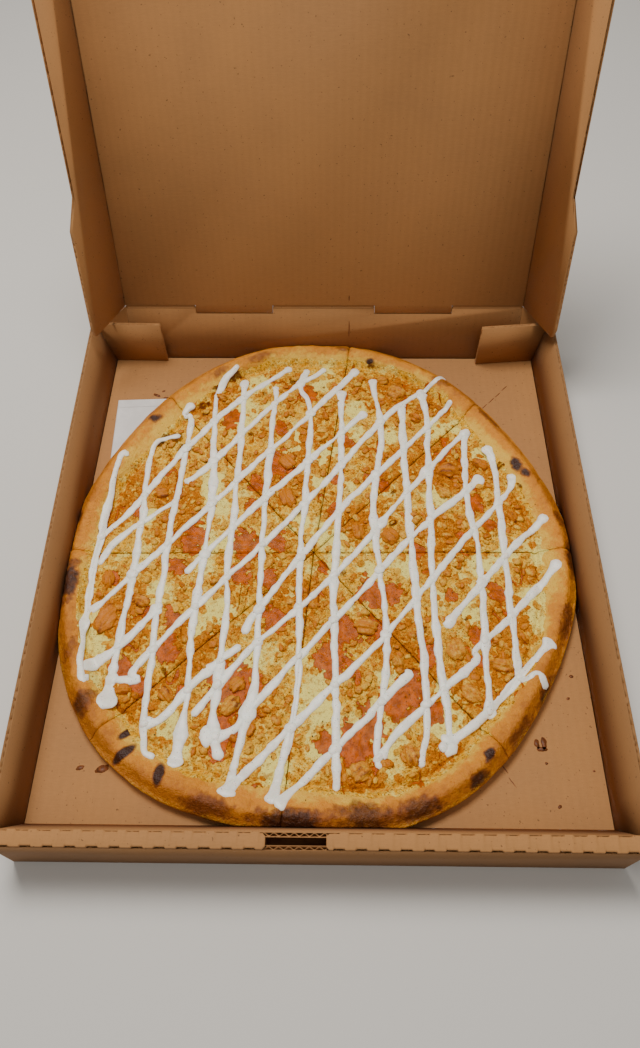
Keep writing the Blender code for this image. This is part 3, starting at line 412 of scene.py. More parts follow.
def fix_normals(piece):
    """Turns all faces of a closed piece outward."""
    bm = bmesh.new()
    bm.from_mesh(piece.data)
    bmesh.ops.recalc_face_normals(bm, faces=bm.faces)
    bm.to_mesh(piece.data)
    bm.free()


def node_copy(node):
    """A merged copy of a node's mesh, as a free object."""
    bm = bmesh.new()
    bm.from_mesh(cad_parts[node].data)
    bmesh.ops.remove_doubles(bm, verts=bm.verts, dist=1e-6)
    mesh = bpy.data.meshes.new(node + "_board")
    bm.to_mesh(mesh)
    bm.free()
    mesh.materials.clear()
    mesh.attributes.remove(mesh.attributes["sharp_face"]) if "sharp_face" in mesh.attributes else None
    copy = bpy.data.objects.new(node + "_board", mesh)
    bpy.context.scene.collection.objects.link(copy)
    return copy


def smooth_path(points, step):
    """A smooth course through the points (Catmull-Rom), as evenly spaced places."""
    spots = np.array(points, float)
    ends = np.vstack((2 * spots[0] - spots[1], spots, 2 * spots[-1] - spots[-2]))
    t = (np.arange(40) / 40)[:, None]
    fine = [0.5 * (2 * b + (c - a) * t + (2 * a - 5 * b + 4 * c - d) * t ** 2
                   + (3 * b - a - 3 * c + d) * t ** 3)
            for a, b, c, d in zip(ends, ends[1:], ends[2:], ends[3:])]
    fine = np.vstack((*fine, spots[-1:]))
    run = np.concatenate(([0], np.cumsum(np.linalg.norm(np.diff(fine, axis=0), axis=1))))
    wanted = np.linspace(0, run[-1], max(3, round(run[-1] / step) + 1))
    return np.stack([np.interp(wanted, run, fine[:, axis]) for axis in range(fine.shape[1])], -1)


# Materials

class Recipe:
    """Shorthand for one material's nodes: each call adds a node and gives back its output."""

    def __init__(self, name):
        self.material = bpy.data.materials.new(name)
        self.material.use_nodes = True
        self.tree = self.material.node_tree
        self.shader = self.tree.nodes["Principled BSDF"]
        self.place = self.tree.nodes.new("ShaderNodeTexCoord").outputs["Object"]

    def put(self, socket, value):
        """Links an input to a node's output, or sets its value."""
        if isinstance(value, bpy.types.NodeSocket):
            self.tree.links.new(value, socket)
        elif socket.type == "RGBA":
            socket.default_value = (*value[:3], 1)
        else:
            socket.default_value = value

    def add(self, kind, output=0, settings=(), **inputs):
        """Adds a node, with inputs given by name, or by number as i0, i1 and so on."""
        node = self.tree.nodes.new("ShaderNode" + kind)
        for key, value in dict(settings).items():
            setattr(node, key, value)
        for key, value in inputs.items():
            self.put(node.inputs[int(key[1:]) if key[0] == "i" and key[1:].isdigit()
                                 else key.replace("_", " ")], value)
        return node.outputs[output]

    def stretched(self, scale):
        return self.add("Mapping", Vector=self.place, Scale=scale)

    def clouds(self, scale, detail=3.0, rough=0.55, place=None):
        return self.add("TexNoise", Vector=self.place if place is None else place, Scale=scale,
                        Detail=detail, Roughness=rough)

    def ramp(self, value, low, high, out_low=0.0, out_high=1.0):
        """Smoothly from out_low at low to out_high at high."""
        return self.add("MapRange", 0, {"interpolation_type": "SMOOTHSTEP"}, Value=value, From_Min=low,
                        From_Max=high, To_Min=out_low, To_Max=out_high)

    def mix(self, share, first, second):
        node = self.tree.nodes.new("ShaderNodeMix")
        node.data_type = "RGBA"
        for index, value in ((0, share), (6, first), (7, second)):
            self.put(node.inputs[index], value)
        return node.outputs[2]

    def maths(self, operation, first, second):
        return self.add("Math", 0, {"operation": operation}, i0=first, i1=second)

    def plus(self, first, second):
        return self.maths("ADD", first, second)

    def times(self, first, second):
        return self.maths("MULTIPLY", first, second)

    def centred(self, cloud, gain):
        """A cloud's level above or below its middle, times a gain."""
        return self.times(self.maths("SUBTRACT", cloud, 0.5), gain)

    def attribute(self, name):
        return self.add("Attribute", "Fac", {"attribute_name": name})

    def bump(self, height, distance, strength=1.0, under=None):
        made = self.add("Bump", Height=height, Strength=strength, Distance=distance)
        if under is not None:
            self.tree.links.new(under, made.node.inputs["Normal"])
        return made

    def finish(self, colour, roughness, normal=None, **constants):
        """Joins the recipe to the shader, sets the shader's other inputs and gives the material."""
        self.put(self.shader.inputs["Base Color"], colour)
        self.put(self.shader.inputs["Roughness"], roughness)
        if normal is not None:
            self.tree.links.new(normal, self.shader.inputs["Normal"])
        for key, value in constants.items():
            self.shader.inputs[key.replace("_", " ")].default_value = value
        return self.material


def scaled(colour, share):
    """A colour with each part times a share, and none above 1."""
    return tuple(min(1.0, part * share) for part in colour)


def kraft_material(name, settings, share=1.0, flutes=None):
    """Kraft liner: fibres drawn out along X, soft blotches, faint stripes over the flutes, small flecks."""
    made = Recipe(name)
    base = scaled(settings.kraft, share)
    fibres = made.clouds(1.0, 4, 0.65, made.stretched((160, 900, 900)))
    fine = made.clouds(1500, 2, 0.6)
    blotch = made.clouds(9, 3, 0.6)
    broad = made.clouds(3.2, 2, 0.5)
    colour = made.mix(made.ramp(blotch, 0.35, 0.68), scaled(base, 0.90), scaled(base, 1.08))
    colour = made.mix(made.ramp(broad, 0.3, 0.7), colour, made.mix(0.5, colour, scaled(base, 0.94)))
    colour = made.mix(made.ramp(fibres, 0.3, 0.75, 0, 0.30), colour, scaled(base, 1.22))
    colour = made.mix(made.ramp(fine, 0.52, 0.72, 0, 0.22), colour, scaled(base, 0.62))
    flecks = made.ramp(made.clouds(520, 1, 0.4), 0.735, 0.77)
    colour = made.mix(flecks, colour, scaled(base, 0.45))
    height = made.plus(made.times(fibres, 0.6), made.times(fine, 0.4))
    normal = made.bump(height, 0.00012, 0.55)
    if flutes:
        axis, pitch = flutes
        wave = made.add("TexWave", 1, {"wave_type": "BANDS", "bands_direction": axis, "wave_profile": "SIN"},
                        Vector=made.place, Scale=math.pi / 10 / pitch, Distortion=0.0)
        colour = made.mix(made.times(wave, 0.06), colour, scaled(base, 0.6))
        normal = made.bump(wave, 0.00009, 0.6, normal)
    return made.finish(colour, made.ramp(blotch, 0.3, 0.7, 0.78, 0.92), normal)


def cut_edge_material(settings):
    """Torn fibres along a cut: paler than the liner, with fine dark pits."""
    made = Recipe("cut_board_edge")
    pits = made.clouds(1400, 3, 0.7)
    colour = made.mix(made.ramp(pits, 0.45, 0.65), settings.cut_edge, scaled(settings.kraft, 0.55))
    return made.finish(colour, 0.92, made.bump(pits, 0.0003, 0.8))


def paper_material(settings):
    """Thin white paper with soft shading from its crumple and a faint fibre."""
    made = Recipe("white_bag_paper")
    cloud = made.clouds(60, 4, 0.6)
    colour = made.mix(made.ramp(cloud, 0.35, 0.7), scaled(settings.paper, 0.86), settings.paper)
    normal = made.bump(made.clouds(900, 2, 0.5), 0.00008, 0.4, made.bump(cloud, 0.0006, 0.35))
    return made.finish(colour, 0.7, normal)


def stain_and_slit_shade_material(settings):
    """Dark grease, lighter in blotches; the same material is the painted shade inside the two slits."""
    made = Recipe("grease_stain_and_slit_shade")
    cloud = made.clouds(420, 3, 0.6)
    colour = made.mix(made.ramp(cloud, 0.35, 0.65), settings.stain_and_slit_shade, scaled(settings.stain_and_slit_shade, 2.2))
    return made.finish(colour, 0.55, made.bump(cloud, 0.0002, 0.5))


def crust_material(settings):
    """Baked crust: pale to golden to brown by how hard each place was baked, with dark spots and flour."""
    made = Recipe("baked_crust")
    bake, char, flour = made.attribute("bake"), made.attribute("char"), made.attribute("flour")
    broad, middle, fine = made.clouds(55, 3, 0.6), made.clouds(240, 4, 0.65), made.clouds(1100, 3, 0.6)
    level = made.plus(bake, made.centred(middle, 0.9))
    level = made.plus(level, made.centred(broad, 1.1))
    colour = made.mix(made.ramp(level, 0.05, 0.55), settings.crust_pale, settings.crust)
    edge_brown = made.mix(0.5, settings.crust, scaled(settings.browned, 1.8))
    colour = made.mix(made.ramp(level, 0.55, 1.05), colour, edge_brown)
    colour = made.mix(made.ramp(fine, 0.5, 0.72, 0, 0.3), colour, scaled(settings.crust, 0.6))
    burnt = made.plus(char, made.centred(middle, 0.35))
    colour = made.mix(made.ramp(burnt, 0.18, 0.62, 0, 0.7), colour, settings.browned)
    colour = made.mix(made.ramp(burnt, 0.55, 1.0), colour, settings.char)
    dust = made.times(flour, made.ramp(fine, 0.45, 0.6))
    colour = made.mix(made.times(dust, 0.6), colour, scaled(settings.crust_pale, 1.05))
    normal = made.bump(fine, 0.0006, 0.9, made.bump(middle, 0.0022, 0.9))
    rough = made.ramp(char, 0.2, 1.0, 0.6, 0.42)
    return made.finish(colour, rough, normal, Subsurface_Weight=0.04, Subsurface_Scale=0.002)


def cheese_material(settings):
    """Melted cheese over lumps of chicken and pools of hot sauce, each where its attribute says."""
    made = Recipe("cheese_and_toppings")
    shred, tint, edge = made.attribute("shred"), made.attribute("tint"), made.attribute("edge")
    sauce, brown, pale = made.attribute("sauce"), made.attribute("brown"), made.attribute("pale")
    coarse, middle, fine, tiny = (made.clouds(scale, 3, 0.6) for scale in (150, 380, 900, 2100))
    wobble = made.centred(middle, 1.6)
    small = made.centred(fine, 1.6)
    both = made.plus(wobble, small)
    golden = made.plus(made.times(coarse, 1.5), made.times(both, 0.8))
    golden = made.maths("SUBTRACT", golden, made.times(pale, 0.75))
    cheese = made.mix(made.ramp(golden, 0.15, 0.95), settings.cheese, settings.golden)
    cheese = made.mix(made.ramp(golden, 0.95, 1.5, 0, 0.8), cheese, settings.chicken)
    meat = made.mix(made.ramp(made.plus(tint, both), 0.0, 0.75), settings.chicken_pale,
                    settings.chicken)
    meat = made.mix(made.ramp(made.plus(tint, small), 0.8, 1.35, 0, 0.8), meat, settings.browned)
    cover = made.ramp(made.plus(shred, made.times(wobble, 0.4)), 0.25, 0.6)
    colour = made.mix(cover, cheese, meat)
    # Darker toward the lumps' margins and along the cuts, from edge: browned meat with painted shade where
    # lumps meet the cheese and in the cut grooves
    rim = made.ramp(made.plus(edge, made.times(both, 0.35)), 0.35, 0.9, 0, 0.85)
    colour = made.mix(rim, colour, settings.browned)
    oily = made.ramp(made.clouds(210, 4, 0.7), 0.51, 0.68, 0, 0.7)
    colour = made.mix(oily, colour, made.mix(0.5, settings.chicken, settings.browned))
    # Fine dark specks, fewer on bare cheese: browned cheese with painted shade in small pits
    pits = made.ramp(made.clouds(540, 4, 0.75), 0.525, 0.62, 0, 0.72)
    colour = made.mix(made.times(pits, made.ramp(pale, 0.15, 0.7, 1.0, 0.12)), colour,
                      settings.browned)
    spotted = made.plus(brown, made.times(both, 0.5))
    colour = made.mix(made.ramp(spotted, 0.3, 1.0, 0, 0.9), colour, settings.browned)
    colour = made.mix(made.ramp(brown, 0.75, 1.2), colour, settings.char)
    wet = made.ramp(made.plus(sauce, made.times(wobble, 0.25)), 0.30, 0.55)
    red = made.mix(made.ramp(coarse, 0.35, 0.65), settings.sauce, scaled(settings.sauce, 0.55))
    colour = made.mix(made.times(wet, 0.96), colour, red)
    specks = made.ramp(made.clouds(1000, 1, 0.3), 0.68, 0.73)
    colour = made.mix(made.times(specks, 0.85), colour, settings.herb)
    height = made.plus(made.times(fine, 0.5), made.times(middle, 0.8))
    height = made.times(height, made.ramp(wet, 0, 1, 1.0, 0.2))
    normal = made.bump(tiny, 0.0003, 0.5, made.bump(height, 0.0016, 1.0))
    return made.finish(colour, made.ramp(wet, 0, 1, 0.52, 0.24), normal, Subsurface_Weight=0.0,
                       Specular_IOR_Level=0.10)


def chicken_material(settings):
    """Torn spiced chicken: pale inside, orange outside, brown along its ridges."""
    made = Recipe("spiced_chicken")
    tint, ridge = made.attribute("tint"), made.attribute("ridge")
    middle, fine = made.clouds(300, 4, 0.7), made.clouds(1100, 3, 0.6)
    wobble = made.centred(middle, 1.4)
    colour = made.mix(made.ramp(made.plus(tint, wobble), 0.1, 0.8), settings.chicken_pale,
                      settings.chicken)
    colour = made.mix(made.ramp(fine, 0.45, 0.7, 0, 0.5), colour, scaled(settings.chicken, 0.55))
    colour = made.mix(made.ramp(made.plus(ridge, wobble), 0.55, 1.1, 0, 0.85), colour,
                      settings.browned)
    specks = made.ramp(made.clouds(1400, 1, 0.3), 0.68, 0.74)
    colour = made.mix(made.times(specks, 0.8), colour, settings.herb)
    normal = made.bump(fine, 0.0004, 0.7, made.bump(middle, 0.0008, 0.6))
    return made.finish(colour, made.ramp(middle, 0.35, 0.7, 0.42, 0.62), normal, Subsurface_Weight=0.03,
                       Subsurface_Scale=0.002, Specular_IOR_Level=0.3)


def drizzle_material(settings):
    """Thick creamy sauce: smooth and off-white, warmer where it is thin, with a few specks."""
    made = Recipe("creamy_drizzle")
    thin, cloud = made.attribute("thin"), made.clouds(260, 3, 0.6)
    colour = made.mix(made.ramp(cloud, 0.35, 0.7), settings.drizzle, scaled(settings.drizzle, 0.90))
    level = made.plus(thin, made.centred(cloud, 0.6))
    warm = made.mix(0.5, settings.cheese, settings.golden)
    colour = made.mix(made.ramp(level, 0.45, 1.0, 0, 0.55), colour, warm)
    specks = made.ramp(made.clouds(1000, 1, 0.3), 0.71, 0.75)
    colour = made.mix(made.times(specks, 0.7), colour, settings.herb)
    normal = made.bump(made.clouds(500, 2, 0.5), 0.0004, 0.4)
    return made.finish(colour, 0.4, normal, Subsurface_Weight=0.1, Subsurface_Scale=0.002)


def herb_material(settings):
    """Dull dark brown flakes, some of them lighter."""
    made = Recipe("herb_and_pepper")
    cloud = made.clouds(700, 2, 0.5)
    return made.finish(made.mix(cloud, settings.herb, scaled(settings.herb, 2.2)), 0.8)


# The corrugated board

def unit(vector):
    """The same direction at a length of one."""
    vector = np.asarray(vector, float)
    return vector / np.linalg.norm(vector)


def tubes(name, near, far, across, thick, sections):
    """Closed straight tubes: each section, as (across, thick) pairs, drawn from near to far."""
    sections = np.asarray(sections)
    count, corners = sections.shape[:2]
    ring = sections[..., :1] * across + sections[..., 1:] * thick
    points = np.concatenate((near[:, None] + ring, far[:, None] + ring), 1)
    index = np.arange(count)[:, None] * 2 * corners
    here = np.arange(corners)
    there = np.roll(here, -1)
    sides = np.stack((here, there, there + corners, here + corners), -1)
    quads = (index[..., None] + sides[None]).reshape(-1, 4)
    rings = [start + order for start in index[:, 0] for order in (here[::-1], here + corners)]
    return piece_from(name, points, quads, rings=rings, flat=True)


def flute_sections(pitch, liner, medium):
    """The hollows above and below the wavy medium: flat against a liner, and curved along the wave."""
    half, crest = BOARD / 2 - liner, (BOARD - 2 * liner - medium) / 2
    reach = pitch * 0.40
    spread = np.linspace(-reach, reach, 7)
    wave = -crest * np.cos(2 * np.pi * spread / pitch) + medium * 0.7
    lower = np.stack((spread, np.minimum(wave, half - 0.0001)), -1)
    upper = np.array([(reach, half), (-reach, half)])
    section = np.vstack((lower, upper))
    return section, section * (1, -1)


def cut_away(piece, cutter):
    """Takes the cutter's closed shapes out of the piece."""
    fix_normals(cutter)
    modifier = piece.modifiers.new("Flutes", "BOOLEAN")
    modifier.operation = "DIFFERENCE"
    modifier.solver = "MANIFOLD"
    modifier.object = cutter
    bpy.context.view_layer.update()
    graph = bpy.context.evaluated_depsgraph_get()
    result = bpy.data.meshes.new_from_object(piece.evaluated_get(graph))
    piece.modifiers.clear()
    piece.data = result
    bpy.data.objects.remove(cutter, do_unlink=True)


def mark_cut_faces(piece, thick):
    """Faces that don't lie along the board take the second material, for the cut edge."""
    normals = np.empty(len(piece.data.polygons) * 3, np.float32)
    piece.data.polygons.foreach_get("normal", normals)
    edge = np.abs(normals.reshape(-1, 3) @ thick) < 0.6
    piece.data.polygons.foreach_set("material_index", edge.astype(np.int32))


def corrugate(node, start, finish, settings, body, materials, pits=()):
    """Stands for a board's node: the same solid with its flutes hollowed out, and pits along cut sides.

    Flutes run from one line to another, each line given by its two ends on the board's middle plane, and are
    spread evenly between the ends. Each row of pits is a start, the way along the edge, the way into the
    board, and the edge's length."""
    start, finish = np.array(start, float), np.array(finish, float)
    width, pitch = np.linalg.norm(start[1] - start[0]), settings.flute_pitch
    across, along = unit(start[1] - start[0]), unit(finish.sum(0) - start.sum(0))
    thick = unit(np.cross(across, along))
    piece = node_copy(node)
    upper, lower = flute_sections(pitch, settings.liner, settings.medium)
    columns = np.arange(int(width / pitch))
    shares = np.concatenate((columns + 0.5, columns[1:])) * pitch / width
    near = start[0] + shares[:, None] * (start[1] - start[0])
    far = finish[0] + shares[:, None] * (finish[1] - finish[0])
    past = 0.06 * (far - near) / np.linalg.norm(far - near, axis=1, keepdims=True)
    sections = np.concatenate((np.repeat(upper[None], len(columns), 0),
                               np.repeat(lower[None], len(columns) - 1, 0)))
    cut_away(piece, tubes("hollows", near - past, far + past, across, thick, sections))
    draw = np.random.default_rng(5)
    for first, way, inward, length in pits:
        steps = np.cumsum(draw.uniform(0.0040, 0.0095, int(length / 0.006)))
        steps = steps[steps < length - 0.004]
        half = draw.uniform(0.0006, 0.0014, len(steps))[:, None]
        tall = draw.uniform(0.0005, 0.0009, len(steps))[:, None]
        turn = np.linspace(0, 2 * np.pi, 7)[:-1]
        section = np.stack((half * np.cos(turn), tall * np.sin(turn)), -1)
        at = np.asarray(first) + steps[:, None] * unit(way)
        inward = unit(inward)
        cut_away(piece, tubes("pits", at - inward * 0.001, at + inward * 0.002, unit(way), thick, section))
    mark_cut_faces(piece, thick)
    return finished(piece, body, *materials, slot="board", replaces=(node,))


def lid_frame():
    """Ways across, up and out of the lid's panel, turned by its lean."""
    up = np.array((0, math.sin(LID_LEAN), math.cos(LID_LEAN)))
    out = np.array((0, math.cos(LID_LEAN), -math.sin(LID_LEAN)))
    return np.array((1.0, 0, 0)), up, out


def flap_frame(side):
    """The crease of a lid flap, the way across it and the way out of its face, turned by its splay."""
    right, up, out = lid_frame()
    crease = HINGE + side * LID_HALF_WIDTH * right - BOARD / 2 * out
    turn = -math.pi / 2 + side * FLAP_SPLAY
    across = math.cos(turn) * right + math.sin(turn) * out
    face = side * (-math.sin(turn) * right + math.cos(turn) * out)
    return crease, across, face


def crease_strip(name, origin, along, reach, profile, made_of):
    """Fills a groove: a closed profile in (out, up) drawn along the crease."""
    out, up, low, high = reach
    steps = np.linspace(low, high, 40)
    ring = np.asarray(profile)
    points = (origin + steps[:, None, None] * along + ring[None, :, :1] * out + ring[None, :, 1:] * up)
    count = len(ring)
    quads = grid_quads(len(steps), count, around=True)
    piece = piece_from(name, points, quads, rings=end_rings(len(steps), count))
    fix_normals(piece)
    piece.data.materials.append(made_of)
    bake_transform(piece)
    return piece


def groove_profile(out_sign, recess, depth, bulge):
    """Section of a groove's filler: its outer side bows by bulge, its root is narrow."""
    turn = np.linspace(-1, 1, 9)
    face = BOARD / 2 * np.ones(9) + bulge * (1 - turn ** 2)
    outer = np.stack((out_sign * face, turn * recess), -1)
    root = np.array([(out_sign * depth, 0.0004), (out_sign * depth, -0.0004)])
    return np.vstack((outer, root))


class PIZZABOX_OT_board(bpy.types.Operator):
    """Builds the corrugated boards of the tray and of the lid, with open flutes at their cut edges"""
    bl_idname = "pizzabox.board"
    bl_label = "Corrugated boards"

    def execute(self, context):
        settings = context.scene.pizzabox_board
        plain = kraft_material("kraft_liner", settings)
        # Kraft darkened to 0.72 as painted shade, for the side walls' inner faces and the front's outer face
        kraft_painted_shade = kraft_material("kraft_of_walls_painted_shade", settings, 0.72)
        fluted = kraft_material("kraft_over_flutes", settings, 1.0, ("X", settings.flute_pitch))
        edge = cut_edge_material(settings)
        both = (fluted, edge)
        right, up, out = lid_frame()
        for node in ("tray_floor", "back_corner_left", "back_corner_right"):
            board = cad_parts[node].data
            board.materials.clear()
            board.materials.append(fluted)

        def line(middle, half):
            return middle - half * right, middle + half * right

        corrugate("lid_panel", line(HINGE, LID_HALF_WIDTH), line(HINGE + up * LID_LENGTH, LID_HALF_WIDTH),
                  settings, "lid", both)
        fold = HINGE + up * (LID_LENGTH - BOARD / 2)
        corrugate("lid_front_flap", line(fold, LID_HALF_WIDTH - BOARD),
                  line(fold - out * 0.03, LID_HALF_WIDTH - BOARD), settings, "lid", both)
        for side, name in ((-1, "left"), (1, "right")):
            crease, across, face = flap_frame(side)
            middle = crease + face * BOARD / 2
            base = np.array((middle, middle + across * FLAP_WIDE))
            wide_edge, narrow_edge = base[1], middle + across * FLAP_NARROW + up * 0.124
            corrugate(f"lid_flap_{name}", base, base + up * LID_LENGTH, settings, f"flap_{name}",
                      (plain, edge),
                      pits=((wide_edge + up * 0.003, up, -across, 0.096), (narrow_edge, up, -across, 0.31)))
        foot = np.array((0, BACK_WALL_FOOT_Y, 0))
        corrugate("wall_back", line(foot, BACK_WALL_HALF_WIDTH), line(HINGE, BACK_WALL_HALF_WIDTH), settings,
                  "tray", both)
        low = np.array((0, ROLL_FRONT_Y + BOARD / 2, 0))
        # The front's outer face takes the kraft with painted shade
        corrugate("front_outer", line(low, FRONT_HALF_WIDTH), line(low + (0, 0, 0.05), FRONT_HALF_WIDTH),
                  settings, "tray", (kraft_painted_shade, edge))
        low = np.array((0, FRONT_CREASE_Y - BOARD / 2, BOARD))
        high = np.array((0, ROLL_BACK_Y - BOARD / 2, WALL_HEIGHT - BOARD))
        corrugate("front_inner", line(low, FLOOR_WIDTH / 2), line(high, FLOOR_WIDTH / 2), settings,
                  "tray", both)
        for side, name in ((-1, "left"), (1, "right")):
            ends = []
            for y, lean in ((SIDE_WALL_FRONT_Y, SPLAYS[side][0]), (FLOOR_BACK_Y, SPLAYS[side][1])):
                inner = side * (FLOOR_WIDTH / 2 + BOARD / 2 + 0.0003)
                ends.append(np.array(((inner, y, 0), (inner + side * lean, y, WALL_HEIGHT))))
            top = ends[0][1] + (0, 0.004, 0)
            # The side walls take the kraft with painted shade
            corrugate(f"wall_{name}", *ends, settings, "tray", (kraft_painted_shade, edge),
                      pits=((top, ends[1][1] - ends[0][1], (0, 0, -1), 0.430),))
            flap = f"dust_flap_{name}"
            points = np.array([vert.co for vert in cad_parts[flap].data.vertices])
            order = np.abs(points[:, 0])
            near, far = points[order > 0.190], points[order < 0.175]
            ends = [np.array([block[block[:, 2] < 0.02].mean(0), block[block[:, 2] > 0.02].mean(0)])
                    for block in (near, far)]
            corrugate(flap, *ends, settings, "tray", (plain, edge),
                      pits=((ends[0][1], ends[1][1] - ends[0][1], (0, 0, -1), 0.055),))
        return {"FINISHED"}


class PIZZABOX_OT_creases(bpy.types.Operator):
    """Builds the pressed strips that fill the creases of the lid and of its flaps"""
    bl_idname = "pizzabox.creases"
    bl_label = "Creases"

    def execute(self, context):
        settings = context.scene.pizzabox_board
        # The crease fillers take kraft darkened to 0.8: painted shade along the dark crease lines
        made_of = kraft_material("pressed_crease_painted_shade", settings, 0.8)
        right, up, out = lid_frame()
        for name, low, high in HINGE_CREASES:
            crease_strip(f"hinge_crease_inner_{name}", HINGE, right, (out, up, low, high),
                         groove_profile(-1, 0.0019, 0.0001, -0.0007),
                         made_of)
            crease_strip(f"hinge_crease_outer_{name}", HINGE, right, (out, up, low, high),
                         groove_profile(1, 0.0013, 0.0001, -0.0002),
                         made_of)
        for side, name in ((-1, "left"), (1, "right")):
            crease, across, face = flap_frame(side)
            bisector = unit(out + face)
            tangent = unit(across - side * right)
            profile = [(-0.0004, -0.0006), (-0.0002, 0.0), (-0.0004, 0.0006), (0.0016, 0.0012),
                       (0.0030, 0.0018), (0.0034, 0.0), (0.0030, -0.0018), (0.0016, -0.0012)]
            crease_strip(f"flap_crease_{name}", crease, up, (bisector, tangent, 0.0012, LID_LENGTH - 0.0035),
                         profile, made_of)
        return {"FINISHED"}


class PIZZABOX_OT_roll(bpy.types.Operator):
    """Builds the rolled top of the front wall, with lips where its creases are cut through"""
    bl_idname = "pizzabox.roll"
    bl_label = "Front roll"

    def execute(self, context):
        settings = context.scene.pizzabox_board
        made_of = kraft_material("kraft_roll", settings)
        low, high = WALL_HEIGHT - BOARD, WALL_HEIGHT
        middle = (ROLL_FRONT_Y + ROLL_BACK_Y) / 2
        half = (ROLL_BACK_Y - ROLL_FRONT_Y) / 2
        for name, start, end in (("left", -FRONT_HALF_WIDTH, SLOT_X[0]),
                                 ("right", SLOT_X[1], FRONT_HALF_WIDTH)):
            x = np.linspace(start, end, round((end - start) / ROLL_STEP))
            phase = (x / settings.score_pitch) % 1
            cut_front = smooth((0.27 - np.abs(phase - 0.5)) / 0.03)
            cut_back = smooth((0.22 - np.abs((phase + 0.25) % 1 - 0.5)) / 0.03)
            turn = np.linspace(-np.pi / 2, np.pi / 2, 9)
            corner_at_slot = smooth((np.minimum(np.abs(x - start), np.abs(end - x))) / 0.002)
            beside_slot = (np.abs(x - SLOT_X[0]) < 0.003) | (np.abs(x - SLOT_X[1]) < 0.003)
            tuck = 0.0016 * (1 - corner_at_slot) * beside_slot
            # Each side bows out as a half round, which tightens to a sharp lip where the crease is cut
            points = []
            for sign, cut in ((-1, cut_front), (1, cut_back)):
                radius = 0.0022 - 0.0017 * cut
                inset = (0.0009 - 0.0009 * cut) + tuck
                for angle in turn if sign < 0 else -turn:
                    out = half - inset - radius * (1 - math.cos(angle)) * 0.9
                    rise = math.sin(angle)
                    top = high - radius * 0.25 * (1 - cut) * 0.5
                    z = np.where(rise > 0, (low + high) / 2 + (top - (low + high) / 2) * rise,
                                 (low + high) / 2 + (BOARD / 2) * rise)
                    lift = -0.00025 * (1 - cut) * (rise > 0.9)
                    points.append(np.stack((x, middle + sign * out, z + lift), -1))
            points = np.stack(points, 1)
            count = points.shape[1]
            quads = grid_quads(len(x), count, around=True)
            piece = piece_from(f"front_roll_{name}_scored", points, quads, rings=end_rings(len(x), count))
            fix_normals(piece)
            finished(piece, "tray", made_of, slot="board", replaces=(f"front_roll_{name}",))
        return {"FINISHED"}


